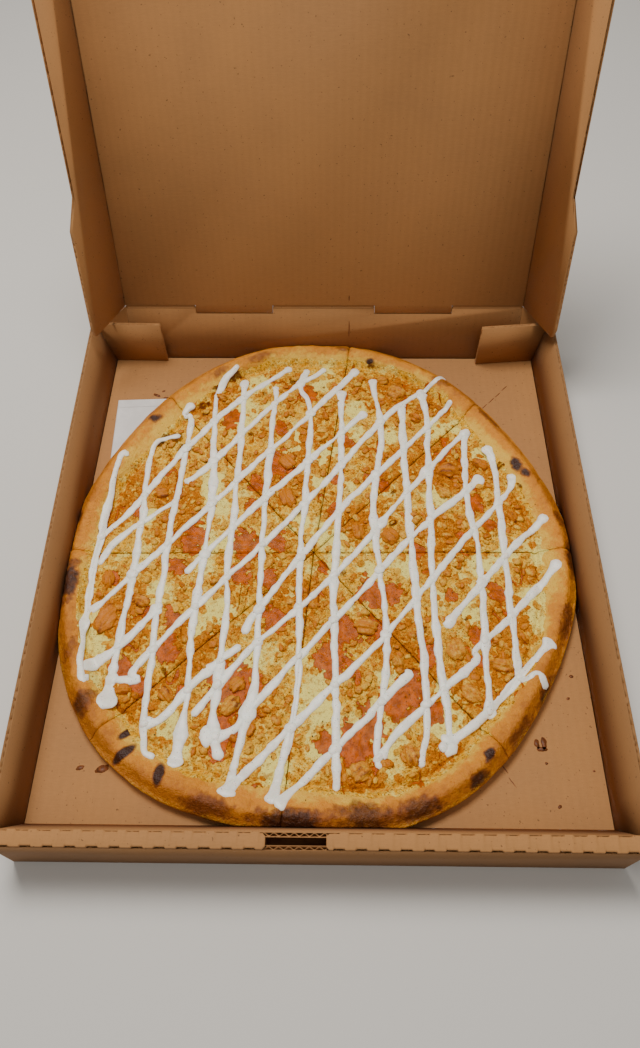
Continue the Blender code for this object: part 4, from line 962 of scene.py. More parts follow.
class PIZZABOX_OT_bag(bpy.types.Operator):
    """Builds the flat paper bag with its toothed strip, the marks on the box's floor and two short slits"""
    bl_idname = "pizzabox.bag"
    bl_label = "Paper bag and marks"

    def execute(self, context):
        settings = context.scene.pizzabox_board
        paper = paper_material(settings)
        u, v = np.meshgrid(np.linspace(-0.5, 0.5, 90), np.linspace(-0.5, 0.5, 110))
        x, y = u * BAG_SIZE[0], v * BAG_SIZE[1]
        crumple = 0.00022 * noise(x, y, 0 * x, 0.012, 3)
        sides = smooth((0.5 - np.maximum(np.abs(u), np.abs(v))) / 0.02)
        lifted = 0.0037 + 0.0003 * sides + crumple * sides
        self.sheet("paper_bag_body", x, y, lifted, 0.0034 + 0 * x, paper, ("paper_bag",))
        strip = BAG_SIZE[1] / 2 - 0.0095
        tooth = np.abs(((x / 0.0022) % 1) - 0.5) * 0.0012
        y_strip = strip + (v + 0.5) * (0.0090 - tooth * (v < -0.45)) + tooth * (v < -0.45)
        top = lifted.max() + 0.00004 + 0.00025 * smooth((v + 0.5) / 0.2) * sides
        self.sheet("paper_bag_strip", x * 0.995, y_strip, top, top - 0.0002, paper, ())
        stain_and_slit_shade = stain_and_slit_shade_material(settings)
        self.marks(stain_and_slit_shade)
        self.slits(stain_and_slit_shade)
        return {"FINISHED"}

    def sheet(self, name, x, y, top, bottom, paper, replaces):
        """A thin closed sheet between two heights over one grid, turned and moved to the bag's place."""
        cos, sin = math.cos(BAG_TURN), math.sin(BAG_TURN)
        across = BAG_CENTRE[0] + x * cos - y * sin
        deep = BAG_CENTRE[1] + x * sin + y * cos
        rows, columns = x.shape
        upper = np.stack((across, deep, top), -1).reshape(-1, 3)
        lower = np.stack((across, deep, bottom), -1).reshape(-1, 3)
        quads = grid_quads(rows, columns)
        index = np.arange(rows * columns).reshape(rows, columns)
        border = np.concatenate((index[0], index[1:, -1], index[-1, -2::-1], index[-2:0:-1, 0]))
        after = np.roll(border, -1)
        count = rows * columns
        walls = np.stack((border, border + count, after + count, after), -1)
        faces = np.concatenate((quads, quads[:, ::-1] + count, walls))
        piece = piece_from(name, np.concatenate((upper, lower)), faces)
        fix_normals(piece)
        finished(piece, "tray", paper, slot="paper", replaces=replaces)

    def slits(self, stain_and_slit_shade):
        """Two short slits, thin dark ovals of painted shade: one in the hinge wall and one above it in the
        lid's low edge.
        """
        right, up, out = lid_frame()
        rise = unit(HINGE - (0, BACK_WALL_FOOT_Y, 0))
        face = np.cross(rise, -right)
        turn = np.linspace(0, 2 * np.pi, 17)[:-1]
        here = np.arange(16)
        there = np.roll(here, -1)
        for name, body, foot, along, toward, place, long in (
                ("wall_slit", "tray", np.array((0.0245, BACK_WALL_FOOT_Y, 0)), rise, face, 0.035, 0.0090),
                ("lid_slit", "lid", HINGE + 0.0240 * right, up, -out, 0.0095, 0.0030)):
            middle = foot + along * place + toward * BOARD / 2
            ring = middle + np.outer(long * np.cos(turn), along) + np.outer(0.0005 * np.sin(turn), right)
            points = np.concatenate((ring - toward * 0.0002, ring + toward * 0.00012))
            quads = np.stack((here, there, there + 16, here + 16), -1)
            piece = piece_from(name, points, quads, rings=[here[::-1], here + 16])
            fix_normals(piece)
            finished(piece, body, stain_and_slit_shade, slot="board")

    def marks(self, stain_and_slit_shade):
        """Low patches and knife scores on the floor, as one thin mesh: ovals with edges pushed by noise."""
        spots = ((-0.153, 0.170, 0.0016, 0.0010, 20), (-0.159, 0.165, 0.0040, 0.0014, -25),
                 (-0.150, 0.162, 0.0022, 0.0011, 10), (-0.171, -0.177, 0.0028, 0.0016, 20),
                 (-0.155, -0.178, 0.0048, 0.0026, 20), (0.163, -0.157, 0.0022, 0.0042, 0),
                 (0.158, -0.157, 0.0018, 0.0034, 10), (0.161, -0.161, 0.0040, 0.0018, 0),
                 (0.191, -0.107, 0.0016, 0.0011, 0), (0.186, -0.124, 0.0014, 0.0010, 30),
                 (0.163, -0.171, 0.0012, 0.0009, 0), (0.168, -0.200, 0.0016, 0.0011, 40),
                 (0.196, -0.176, 0.0009, 0.0007, 0), (0.132, -0.174, 0.0050, 0.0004, -55),
                 (0.128, -0.168, 0.0030, 0.0004, -50), (0.137, -0.184, 0.0040, 0.0003, -55),
                 (0.152, 0.153, 0.0040, 0.0004, 46), (0.159, 0.160, 0.0040, 0.0004, 46),
                 (0.166, 0.167, 0.0040, 0.0004, 46), (0.173, 0.175, 0.0040, 0.0004, 46))
        turn = np.linspace(0, 2 * np.pi, 25)[:-1]
        here = np.arange(24)
        there = np.roll(here, -1)
        points, quads, rings = [], [], []
        for number, (x, y, long, short, degrees) in enumerate(spots):
            ragged = 1 + 0.28 * noise(np.cos(turn) * 2 + number * 7, np.sin(turn) * 2, 0 * turn, 1.0, 9, 2)
            angle = math.radians(degrees)
            for height in (0.00301, 0.00312):
                a, b = long * ragged * np.cos(turn), short * ragged * np.sin(turn)
                points.append(np.stack((x + a * math.cos(angle) - b * math.sin(angle),
                                        y + a * math.sin(angle) + b * math.cos(angle), 0 * a + height), -1))
            start = number * 48
            quads.append(start + np.stack((here, there, there + 24, here + 24), -1))
            rings += [start + here[::-1], start + 24 + here]
        piece = piece_from("floor_marks", np.concatenate(points), np.concatenate(quads), rings=rings)
        finished(piece, "tray", stain_and_slit_shade, slot="board")


# The pizza's form

def polar(x, y):
    """Distance and angle of each place from the pizza's middle."""
    dx, dy = np.asarray(x) - PIZZA[0], np.asarray(y) - PIZZA[1]
    return np.hypot(dx, dy), np.arctan2(dy, dx)


def outline_radius(angle):
    """Mean radius with six waves round it."""
    waves = (size * np.cos(n * angle - math.radians(phase)) for n, size, phase in OUTLINE_WAVES)
    return MEAN_RADIUS + sum(waves)


def rim_crest(angle):
    """Height of the crest: a mean, sines of 7 and of 13 turns round the pizza, and a rise toward -X."""
    bumps = 0.0011 * np.sin(7 * angle + 1.0) + 0.0008 * np.sin(13 * angle + 2.4)
    return RIM_CREST_Z + bumps + 0.0010 * np.maximum(0, -np.cos(angle)) ** 4


def rim_width(angle):
    """Width of the crust: a mean, and sines of 3 and of 8 turns round the pizza."""
    return RIM_WIDTH + 0.003 * np.sin(3 * angle + 0.6) + 0.002 * np.sin(8 * angle + 1.9)


def inner_radius(angle):
    """Where the crust meets the cheese: the outline's radius less the crust's width."""
    return outline_radius(angle) - rim_width(angle)


def crust_section(angle):
    """The part's own section of the crust at each angle, as (radius, height) pairs."""
    edge, crest = outline_radius(angle), rim_crest(angle)
    inner = edge - rim_width(angle)
    low = UNDERSIDE_Z + 0 * angle
    shoulder = UNDERSIDE_Z + 0.66 * (crest - UNDERSIDE_Z)
    return np.stack([np.stack(pair, -1) for pair in (
        (0.5 * edge, low), (edge - 2 * RIM_WIDTH, low), (edge - RIM_WIDTH, low), (edge - 0.009, low),
        (edge - 0.002, low + 0.0035), (edge, low + 0.0080), (edge - 0.003, shoulder),
        (edge - 0.010, crest), (edge - 0.018, crest - 0.0018),
        (inner + 0.0035, DOUGH_TOP_Z + 0.0055 + 0 * angle),
        (inner, DOUGH_TOP_Z + 0 * angle), (0.5 * edge, DOUGH_TOP_Z + 0 * angle))], -2)


SECTION_STEPS = (1, 2, 3, 6, 6, 6, 8, 8, 8, 6, 2)


def fine_section(angle):
    """The section made smooth (Catmull-Rom) and finer where it shows, with each sample's place along it."""
    knots = crust_section(angle)
    padded = np.concatenate((2 * knots[:, :1] - knots[:, 1:2], knots,
                             2 * knots[:, -1:] - knots[:, -2:-1]), 1)
    samples, places = [], []
    for span, steps in enumerate(SECTION_STEPS):
        a, b, c, d = (padded[:, span + offset, None] for offset in range(4))
        t = (np.arange(steps) / steps)[None, :, None]
        m1, m2 = 0.5 * (c - a), 0.5 * (d - b)
        bend = ((2 * t ** 3 - 3 * t ** 2 + 1) * b + (t ** 3 - 2 * t ** 2 + t) * m1
                + (3 * t ** 2 - 2 * t ** 3) * c + (t ** 3 - t ** 2) * m2)
        flat = span < 3 or span > 9
        samples.append(b + (c - b) * t if flat else bend)
        places.append(span + t[0, :, 0])
    samples.append(knots[:, -1:])
    places.append([len(SECTION_STEPS)])
    return np.concatenate(samples, 1), np.concatenate(places)


def room_to_walls(apex, angle, z):
    """How far each ray can go at its height before it meets a wall, less a little to spare."""
    along_x, along_y = np.cos(angle), np.sin(angle)
    y = apex[1] + MEAN_RADIUS * along_y
    share = np.clip((y - SIDE_WALL_FRONT_Y) / (FLOOR_BACK_Y - SIDE_WALL_FRONT_Y), -0.1, 1.1)
    left, right = (SPLAYS[side][0] + share * (SPLAYS[side][1] - SPLAYS[side][0]) for side in (-1, 1))
    lean = np.where(along_x < 0, left, right)
    wall_x = FLOOR_WIDTH / 2 + lean * np.maximum(z, 0) / WALL_HEIGHT - 0.0004
    wall_x = np.where(along_x < 0, -1, 1) * wall_x
    slope = (ROLL_BACK_Y - FRONT_CREASE_Y) / (WALL_HEIGHT - 2 * BOARD)
    back = BACK_WALL_FOOT_Y + (HINGE[1] - BACK_WALL_FOOT_Y) / HINGE[2] * z - BOARD / 2 - 0.0008
    front = FRONT_CREASE_Y + slope * np.maximum(z - BOARD, 0) + 0.0004
    wall_y = np.where(along_y > 0, back, front)
    with np.errstate(divide="ignore", invalid="ignore"):
        room_x = np.where(np.abs(along_x) > 0.1, (wall_x - apex[0]) / along_x, np.inf)
        room_y = np.where(np.abs(along_y) > 0.1, (wall_y - apex[1]) / along_y, np.inf)
    return np.minimum(room_x, room_y)


def bag_lift(x, y, z):
    """Raises the crust by 1.3 mm over the paper bag, fading from 8 to 20 mm beside it and in 5 mm up."""
    beside_x = np.maximum(np.abs(x - BAG_CENTRE[0]) - BAG_SIZE[0] / 2 - 0.008, 0)
    beside_y = np.maximum(np.abs(y - BAG_CENTRE[1]) - BAG_SIZE[1] / 2 - 0.008, 0)
    over = np.maximum(0, 1 - np.hypot(beside_x, beside_y) / 0.012)
    return 0.0013 * over * np.clip(1 - (z - UNDERSIDE_Z) / 0.005, 0, 1)


def crust_top(radius, angle):
    """Height of the crust's upper side, straight between the section's knots."""
    knots = crust_section(angle)[..., 6:11, :][..., ::-1, :]
    height = np.where(radius < knots[..., 0, 0], DOUGH_TOP_Z, knots[..., -1, 1])
    for low in range(4):
        r0, z0 = knots[..., low, 0], knots[..., low, 1]
        r1, z1 = knots[..., low + 1, 0], knots[..., low + 1, 1]
        inside = (radius >= r0) & (radius < r1)
        height = np.where(inside, z0 + (z1 - z0) * (radius - r0) / np.maximum(r1 - r0, 1e-6), height)
    return height


def cut_distance(x, y):
    """Distance to the nearest cut: how far aside of a cut's ray a place is, unless it is behind the ray."""
    dx, dy = x - PIZZA[0], y - PIZZA[1]
    nearest = np.full(np.shape(dx), 1.0)
    for turn in CUT_ANGLES:
        along = dx * math.cos(turn) + dy * math.sin(turn)
        away = np.abs(dx * math.sin(turn) - dy * math.cos(turn))
        nearest = np.where(along > -0.001, np.minimum(nearest, away), nearest)
    return nearest


def stamp(fields, x, y, long, short, turn, tall, tint, cover):
    """Presses one ragged oval dome into the rasters, with how reddish it is and how much of it is meat."""
    reach = max(long, short) * 1.3
    low_x, high_x, low_y, high_y = (int((value - RASTER_LOW) / RASTER_STEP)
                                    for value in (x - reach, x + reach, y - reach, y + reach))
    window = (slice(low_y, high_y + 2), slice(low_x, high_x + 2))
    gx, gy = fields["x"][window] - x, fields["y"][window] - y
    u = (gx * math.cos(turn) + gy * math.sin(turn)) / long
    v = (gy * math.cos(turn) - gx * math.sin(turn)) / short
    spread = np.hypot(u, v) * (1 + 0.34 * fields["ragged"][window])
    rise = tall * np.sqrt(np.clip(1 - spread ** 2, 0, 1)) * (1 + 0.18 * np.sin(v * 6 + 2 * u + x * 9000))
    wins = rise > fields["relief"][window]
    # The dome's margin, on meat, is kept in edge: browned chicken with painted shade where the lump meets
    # the cheese
    rim = np.clip((spread - 0.62) / 0.38, 0, 1) * wins
    for key, value in (("relief", rise), ("tint", tint), ("shred", cover), ("edge", rim * cover)):
        fields[key][window] = np.where(wins, value, fields[key][window])


def spot(fields, key, x, y, long, short, degrees, strength, ragged=0.45, ring=0.0):
    """Adds one soft ragged oval to a raster, or with a ring, one that is strongest round its margin."""
    angle = math.radians(degrees)
    gx, gy = fields["x"] - x, fields["y"] - y
    near = (np.abs(gx) < 2 * max(long, short)) & (np.abs(gy) < 2 * max(long, short))
    gx, gy = gx[near], gy[near]
    u = (gx * math.cos(angle) + gy * math.sin(angle)) / long
    v = (gy * math.cos(angle) - gx * math.sin(angle)) / short
    spread = np.hypot(u, v) + ragged * fields["ragged"][near]
    value = smooth(1.35 - spread) - ring * smooth(0.75 - spread)
    fields[key][near] = np.maximum(fields[key][near], value * strength)


def topping_fields(seed):
    """Rasters over the pizza: how high each place stands and what lies there."""
    axis = RASTER_LOW + RASTER_STEP * np.arange(RASTER_COUNT)
    x, y = np.meshgrid(axis, axis)
    zero = np.zeros_like(x)
    fields = {key: zero.copy() for key in ("relief", "shred", "tint", "edge", "brown", "sauce", "char")}
    fields.update(x=x, y=y, ragged=noise(x, y, zero, 0.0040, seed, 3, 0.6))
    draw = np.random.default_rng(seed)
    broad = noise(x, y, zero, 0.024, seed + 4, 2)
    pools = zero - 1
    for px, py, radius in CHEESE_POOLS:
        pools = np.maximum(pools, 1.2 - np.hypot(x - px, y - py) / radius)
    fields["pale"] = smooth(np.maximum(pools, broad * 1.5 - 0.35) * 1.6 + 0.5 * fields["ragged"])
    meat = zero - 1
    for cx, cy, radius in CHICKEN_CLUSTERS:
        meat = np.maximum(meat, 1.15 - np.hypot(x - cx, y - cy) / radius / 1.25)
    meat = smooth(0.42 + 0.75 * np.maximum(meat, -0.35) - 0.5 * broad + 0.35 * fields["ragged"])
    steps = np.arange(-0.2, 0.2, SHRED_STEP)
    px, py = (part.ravel() for part in np.meshgrid(steps, steps))
    px, py = px + draw.uniform(-0.0016, 0.0016, px.size), py + draw.uniform(-0.0016, 0.0016, py.size)
    px, py = px + PIZZA[0], py + PIZZA[1]
    radius, angle = polar(px, py)
    bare, rich = sample(fields["pale"], px, py), sample(meat, px, py)
    kept = bare < draw.uniform(0.1, 1.25, px.size)
    kept &= radius < inner_radius(angle) + 0.001
    for mx, my, here in zip(px[kept], py[kept], rich[kept]):
        meaty = draw.uniform(0, 1) < 0.15 + 0.8 * here
        long = draw.uniform(0.0016, 0.0030) + 0.0022 * meaty * draw.uniform(0, 1) ** 2
        tall = draw.uniform(0.0002, 0.0006) + meaty * draw.uniform(0.0002, 0.0013)
        tint = draw.uniform(0, 0.6) + 0.45 * here
        stamp(fields, mx, my, long, long * draw.uniform(0.5, 0.9), draw.uniform(0, np.pi), tall, tint,
              draw.uniform(0.65, 1.0) if meaty else draw.uniform(0, 0.35))
    ranges = ((0, 2 * np.pi), (0, 1), (0.0014, 0.0046), (0.15, 0.9))
    for turn, far, size, strength in zip(*(draw.uniform(*limits, BROWN_SPECKS) for limits in ranges)):
        far = SCATTER_REACH * math.sqrt(far)
        spot(fields, "brown", PIZZA[0] + far * math.cos(turn), PIZZA[1] + far * math.sin(turn),
             size, size * 0.7, math.degrees(turn * 3), strength, 0.7)
    for bx, by, size in BLISTERS:
        spot(fields, "brown", bx, by, size * 1.2, size * 0.8, 35, 1.15, 0.4, 0.75)
        spot(fields, "relief", bx, by, size * 1.1, size * 0.7, 35, 0.0022, 0.2)
    for sx, sy, size in SAUCE_PATCHES:
        spot(fields, "sauce", sx, sy, size * 0.95, size * 1.2, 20, 1.0, 0.85)
    streak = 1 - np.abs(noise(x * 1.6, y * 0.7, zero, 0.018, seed + 8, 2)) * 8
    streak = smooth(streak) * smooth(0.25 - broad * 1.6 - fields["pale"])
    fields["sauce"] = np.maximum(smooth(fields["sauce"] * 1.5), streak * 0.7)
    fields["relief"] *= 1 - 0.75 * fields["sauce"]
    fields["relief"] += 0.0006 * noise(x, y, zero, 0.012, seed + 2, 3) + 0.0003 * fields["ragged"]
    groove = cut_distance(x, y)
    fields["relief"] -= 0.0013 * np.exp(-(groove / 0.0009) ** 2)
    # Along each cut the edge field darkens the groove: painted shade in the cut
    fields["edge"] = np.maximum(fields["edge"], 0.85 * np.exp(-(groove / 0.0008) ** 2))
    for place in CHAR_SPOTS:
        spot(fields, "char", *place, ragged=0.10 if place[5] > 1.35 else 0.45)
    fields["swell"] = (0.0010 * noise(x, y, zero, 0.021, seed + 6, 3) + 0.0007 * fields["ragged"]
                       + 0.0008 * np.clip(fields["char"] - 0.9, 0, 1))
    fields["stroke"] = zero + 1
    for stroke in STROKES:
        for sx, sy in smooth_path(stroke, 0.002):
            low_x, low_y = (int((value - 0.008 - RASTER_LOW) / RASTER_STEP) for value in (sx, sy))
            window = (slice(low_y, low_y + 33), slice(low_x, low_x + 33))
            far = np.hypot(x[window] - sx, y[window] - sy)
            fields["stroke"][window] = np.minimum(fields["stroke"][window], far)
    return fields


def upper_surface(fields, x, y):
    """Heights of the crust and of the cheese over it, and how far across the cheese's margin a place is."""
    radius, angle = polar(x, y)
    past = radius - inner_radius(angle)
    swell = sample(fields["swell"], x, y)
    crust = crust_top(radius, angle) + swell * smooth((past + 0.004) / 0.008)
    margin = 0.0065 + 0.0035 * noise(np.cos(angle) * 30, np.sin(angle) * 30, 0 * angle, 1.0, 31, 2)
    film = 0.0013 * (1 - past / margin)
    relief = sample(fields["relief"], x, y) * (1 - 0.85 * smooth(past / margin))
    flat = CHEESE_TOP_Z + relief
    hill = crust + film + relief * 0.5
    over = smooth((past + 0.004) / 0.006)
    joined = np.maximum(flat * (1 - over) + hill * over, np.minimum(flat, hill))
    cheese = np.where(past > -0.004, joined, flat)
    return crust, cheese, past / margin


_kept = {}


def shared_fields(settings):
    """The rasters are worked out once and used by every piece of the pizza."""
    if "fields" not in _kept:
        _kept["fields"] = topping_fields(settings.seed)
    return _kept["fields"]


def slice_span(index):
    """The angles of a slice's two cuts, and its tip, set out so that half the gap is left at each cut."""
    first, last = CUT_ANGLES[index], CUT_ANGLES[(index + 1) % SLICES]
    last += 2 * np.pi * (last < first)
    middle, away = (first + last) / 2, CUT_GAP / 2 / math.sin((last - first) / 2)
    return first, last, PIZZA + away * np.array((math.cos(middle), math.sin(middle)))


def wedge_shell(name, columns, low_tip, high_tip, attributes):
    """Closes a fan of sections, from one cut to the next, with its two tips and a flat face at each cut."""
    fan, count = columns.shape[:2]
    points = np.concatenate((columns.reshape(-1, 3), [low_tip, high_tip]))
    index = np.arange(fan * count).reshape(fan, count)
    quads = np.stack((index[:-1, :-1], index[1:, :-1], index[1:, 1:], index[:-1, 1:]), -1).reshape(-1, 4)
    low, high = fan * count, fan * count + 1
    triangles = np.concatenate((
        np.stack((np.full(fan - 1, low), index[1:, 0], index[:-1, 0]), -1),
        np.stack((index[:-1, -1], index[1:, -1], np.full(fan - 1, high)), -1)))
    rings = [np.concatenate(([low], index[0], [high])), np.concatenate(([low], index[-1], [high]))[::-1]]
    values = {key: np.concatenate((value.ravel(), value[0, :1], value[0, -1:]))
              for key, value in attributes.items()}
    piece = piece_from(name, points, quads, triangles, rings, values)
    mark_sharp_cuts(piece, len(rings))
    return piece


def mark_sharp_cuts(piece, rings):
    """The flat faces at the cuts, which come last, stay flat beside the rounded rest."""
    flags = np.zeros(len(piece.data.polygons), bool)
    flags[-rings:] = True
    piece.data.polygons.foreach_set("use_smooth", ~flags)


class PIZZABOX_OT_crust(bpy.types.Operator):
    """Builds the eight slices of dough with their puffed, browned crust"""
    bl_idname = "pizzabox.crust"
    bl_label = "Crust slices"

    def execute(self, context):
        settings = context.scene.pizzabox_pizza
        fields, made_of = shared_fields(settings), crust_material(settings)
        for index in range(SLICES):
            first, last, apex = slice_span(index)
            angle = np.linspace(first, last, round((last - first) * 0.21 / CRUST_STEP))
            section, places = fine_section(angle)
            radius, z = section[..., 0], section[..., 1]
            turn = angle[:, None] + 0 * radius
            x, y = apex[0] + radius * np.cos(turn), apex[1] + radius * np.sin(turn)
            # Rays from the tip carry the section, which swells by noise, dips at the cuts and stops at walls
            rim = smooth((places - 3.4) / 1.6) * smooth((10.6 - places) / 1.5)
            skin = noise(np.cos(turn) * 0.21, np.sin(turn) * 0.21, z * 1.4, 0.013, 17, 4, 0.55)
            swell = sample(fields["swell"], x, y)
            z = z + rim * swell * smooth((places - 5) / 1.5) + rim * 0.0002 * skin
            radius = radius + rim * smooth((8 - places) / 2.5) * (0.0009 * skin - 0.0006)
            beside = np.minimum(turn - first, last - turn) * radius
            z = z - rim * smooth((places - 5) / 1) * 0.0013 * np.exp(-(beside / 0.0012) ** 2)
            radius = np.minimum(radius, room_to_walls(apex, turn, z))
            x, y = apex[0] + radius * np.cos(turn), apex[1] + radius * np.sin(turn)
            z = z + bag_lift(x, y, z)
            bake = (0.42 + 0.48 * np.exp(-((places - 6.0) / 1.5) ** 2) - 0.38 * smooth((places - 7.4) / 1.6)
                    + 0.10 * np.maximum(0, -np.sin(turn))) + 0.45 * noise(x, y, z, 0.030, 23, 3)
            char = sample(fields["char"], x, y) * smooth((places - 4.5) / 1.5)
            flour = smooth((6.2 - places) / 1.2) * smooth(0.4 + noise(x, y, z, 0.012, 29, 2) * 1.5)
            columns = np.stack((x, y, z), -1)
            tips = [(*apex, UNDERSIDE_Z), (*apex, DOUGH_TOP_Z)]
            name = f"crust_slice_{index + 1}"
            piece = wedge_shell(name, columns, *tips, {"bake": bake, "char": char, "flour": flour})
            finished(piece, "tray", made_of, slot="dough", replaces=(f"dough_{index + 1}",))
        return {"FINISHED"}


class PIZZABOX_OT_cheese(bpy.types.Operator):
    """Builds the melted cheese of each slice, with shreds, bubbles and pools of sauce as relief"""
    bl_idname = "pizzabox.cheese"
    bl_label = "Cheese and toppings"

    def execute(self, context):
        settings = context.scene.pizzabox_pizza
        fields, made_of = shared_fields(settings), cheese_material(settings)
        for index in range(SLICES):
            first, last, apex = slice_span(index)
            angle = np.linspace(first, last, round((last - first) * 0.19 / CHEESE_STEP))[:, None]
            reach = inner_radius(angle) + 0.0105
            # Rings from the margin to the tip over the cheese, and three knots under it
            top = reach * np.linspace(1, 0.012, CHEESE_RINGS)[None] ** 0.96
            x, y = apex[0] + top * np.cos(angle), apex[1] + top * np.sin(angle)
            crust, z, past = upper_surface(fields, x, y)
            z = np.where(past > 1, np.minimum(z, crust - 0.0003), z)
            inner = inner_radius(angle) - 0.0008
            under_r = np.concatenate((0.3 * inner, inner, reach * 0 + inner + 0.003), 1)
            under_z = np.concatenate((0 * inner + CHEESE_BOTTOM_Z, 0 * inner + CHEESE_BOTTOM_Z,
                                      0 * inner + CHEESE_BOTTOM_Z + 0.0022), 1)
            radius, height = np.concatenate((under_r, top), 1), np.concatenate((under_z, z), 1)
            columns = np.stack((apex[0] + radius * np.cos(angle),
                                apex[1] + radius * np.sin(angle), height), -1)
            px, py = columns[..., 0], columns[..., 1]
            kinds = ("shred", "tint", "edge", "sauce", "brown", "pale")
            values = {key: sample(fields[key], px, py) for key in kinds}
            margin = np.concatenate((0 * under_r, smooth((past - 0.1) / 0.9)), 1)
            values["shred"] = values["shred"] * (1 - margin)
            values["edge"] = values["edge"] * (1 - margin)
            values["brown"] = np.maximum(values["brown"], 0.42 * smooth((margin - 0.55) / 0.45))
            tip_z = float(upper_surface(fields, *(np.array([part]) for part in apex))[1][0])
            tips = [(*apex, CHEESE_BOTTOM_Z), (*apex, tip_z)]
            piece = wedge_shell(f"cheese_slice_{index + 1}", columns, *tips, values)
            finished(piece, "tray", made_of, slot="cheese", replaces=(f"cheese_{index + 1}",))
        return {"FINISHED"}


def scatter(draw, count, reach):
    """Even random places on a disc about the pizza's middle: the distance is the root of an even share."""
    turn, far = draw.uniform(0, 2 * np.pi, count), reach * np.sqrt(draw.uniform(0, 1, count))
    return PIZZA[0] + far * np.cos(turn), PIZZA[1] + far * np.sin(turn)


def lumpy_balls(centres, sizes, turns, seed, rows, columns, rough, fibres):
    """Many ragged balls as one mesh: a sphere's grid, scaled, pushed in and out by noise, then turned.

    Gives the points, the quads, the end triangles and each point's ridge, 0 in a hollow, 1 on a crest."""
    count = len(centres)
    phi = np.linspace(0, np.pi, rows + 2)[1:-1]
    theta = np.linspace(0, 2 * np.pi, columns + 1)[:-1]
    phi, theta = np.meshgrid(phi, theta, indexing="ij")
    ball = np.stack((np.sin(phi) * np.cos(theta), np.sin(phi) * np.sin(theta), np.cos(phi)), -1)
    ball = np.concatenate((ball.reshape(-1, 3), [(0, 0, 1), (0, 0, -1)]))
    shift = np.arange(count)[:, None] * 13.7 + seed
    bx, by, bz = (ball[None, :, axis] for axis in range(3))
    lumps = noise(bx + shift, by, bz, 0.9, seed, 3, 0.6)
    lines = np.sin(fibres * (by + 0.25 * lumps) + shift)
    pull = 1 + rough * lumps + 0.10 * lines * (fibres > 0)
    points = ball[None] * pull[..., None] * sizes[:, None]
    floor = -0.45 * sizes[:, None, 2]
    points[..., 2] = np.maximum(points[..., 2], floor)
    cos, sin = np.cos(turns)[:, None], np.sin(turns)[:, None]
    x, y = points[..., 0] * cos - points[..., 1] * sin, points[..., 0] * sin + points[..., 1] * cos
    points = np.stack((x, y, points[..., 2]), -1) + centres[:, None]
    size = len(ball)
    quads = grid_quads(rows, columns, around=True)[:, ::-1]
    last = (rows - 1) * columns
    here = np.arange(columns)
    there = np.roll(here, -1)
    caps = np.concatenate((np.stack((np.full(columns, size - 2), here, there), -1),
                           np.stack((np.full(columns, size - 1), last + there, last + here), -1)))
    offsets = np.arange(count)[:, None, None] * size
    ridge = np.clip(0.45 + 0.6 * lumps + 0.25 * lines, 0, 1)
    quads, caps = (quads[None] + offsets).reshape(-1, 4), (caps[None] + offsets).reshape(-1, 3)
    return points.reshape(-1, 3), quads, caps, ridge


class PIZZABOX_OT_chicken(bpy.types.Operator):
    """Builds the torn chicken: the larger pieces where the part has them, and small scraps between"""
    bl_idname = "pizzabox.chicken"
    bl_label = "Chicken"

    def execute(self, context):
        settings = context.scene.pizzabox_pizza
        fields, made_of = shared_fields(settings), chicken_material(settings)
        draw = np.random.default_rng(settings.seed + 1)
        for number in range(1, CHICKEN_PIECES + 1):
            node = f"chicken_{number:02d}"
            solid = np.array([vert.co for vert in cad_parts[node].data.vertices])
            middle = solid.mean(0)
            flat = (solid - middle)[:, :2]
            long_way = np.linalg.eigh(flat.T @ flat)[1][:, 1]
            turn = math.atan2(long_way[1], long_way[0])
            side_way = np.array((-long_way[1], long_way[0]))
            half = np.array((np.ptp(flat @ long_way), np.ptp(flat @ side_way),
                             np.ptp(solid[:, 2]) * 1.32)) / 2
            low = solid[:, 2].min()
            centre = np.array((middle[0], middle[1], low - 0.0008 + 0.45 * half[2]))
            points, quads, caps, ridge = lumpy_balls(centre[None], half[None] * 1.04, np.array([turn]),
                                                     number * 5, 30, 44, 0.34, 9)
            tint = np.full(ridge.shape, draw.uniform(0.45, 1.0))
            piece = piece_from(f"chicken_piece_{number:02d}", points, quads, caps,
                               attributes={"ridge": ridge, "tint": tint})
            finished(piece, "tray", made_of, slot="chicken", replaces=(node,))
        self.scraps(settings, fields, made_of, draw)
        return {"FINISHED"}

    def scraps(self, settings, fields, made_of, draw):
        """Small torn scraps, half sunk in the cheese wherever the field of shreds is thick."""
        x, y = scatter(draw, SCRAP_TRIES, SCATTER_REACH)
        shred, sauce, pale = (sample(fields[key], x, y) for key in ("shred", "sauce", "pale"))
        thick = shred - sauce - 0.6 * pale
        radius, angle = polar(x, y)
        good = thick > draw.uniform(0.25, 1.1, len(x))
        good &= radius < inner_radius(angle) - 0.004
        good &= (cut_distance(x, y) > 0.003) & (sample(fields["stroke"], x, y) > 0.0045)
        x, y = x[good][:SCRAPS], y[good][:SCRAPS]
        size = draw.uniform(0.0016, 0.0040, len(x))
        sizes = np.stack((size, size * draw.uniform(0.45, 0.8, len(x)),
                          size * draw.uniform(0.35, 0.6, len(x))), -1)
        ground = upper_surface(fields, x, y)[1]
        centres = np.stack((x, y, ground + 0.1 * sizes[:, 2]), -1)
        turns = draw.uniform(0, np.pi, len(x))
        points, quads, caps, ridge = lumpy_balls(centres, sizes, turns, 3, 7, 12, 0.5, 7)
        tint = np.repeat(draw.uniform(0.1, 1.0, len(x))[:, None], ridge.shape[1], 1)
        piece = piece_from("chicken_scraps", points, quads, caps, attributes={"ridge": ridge, "tint": tint})
        finished(piece, "tray", made_of, slot="chicken")


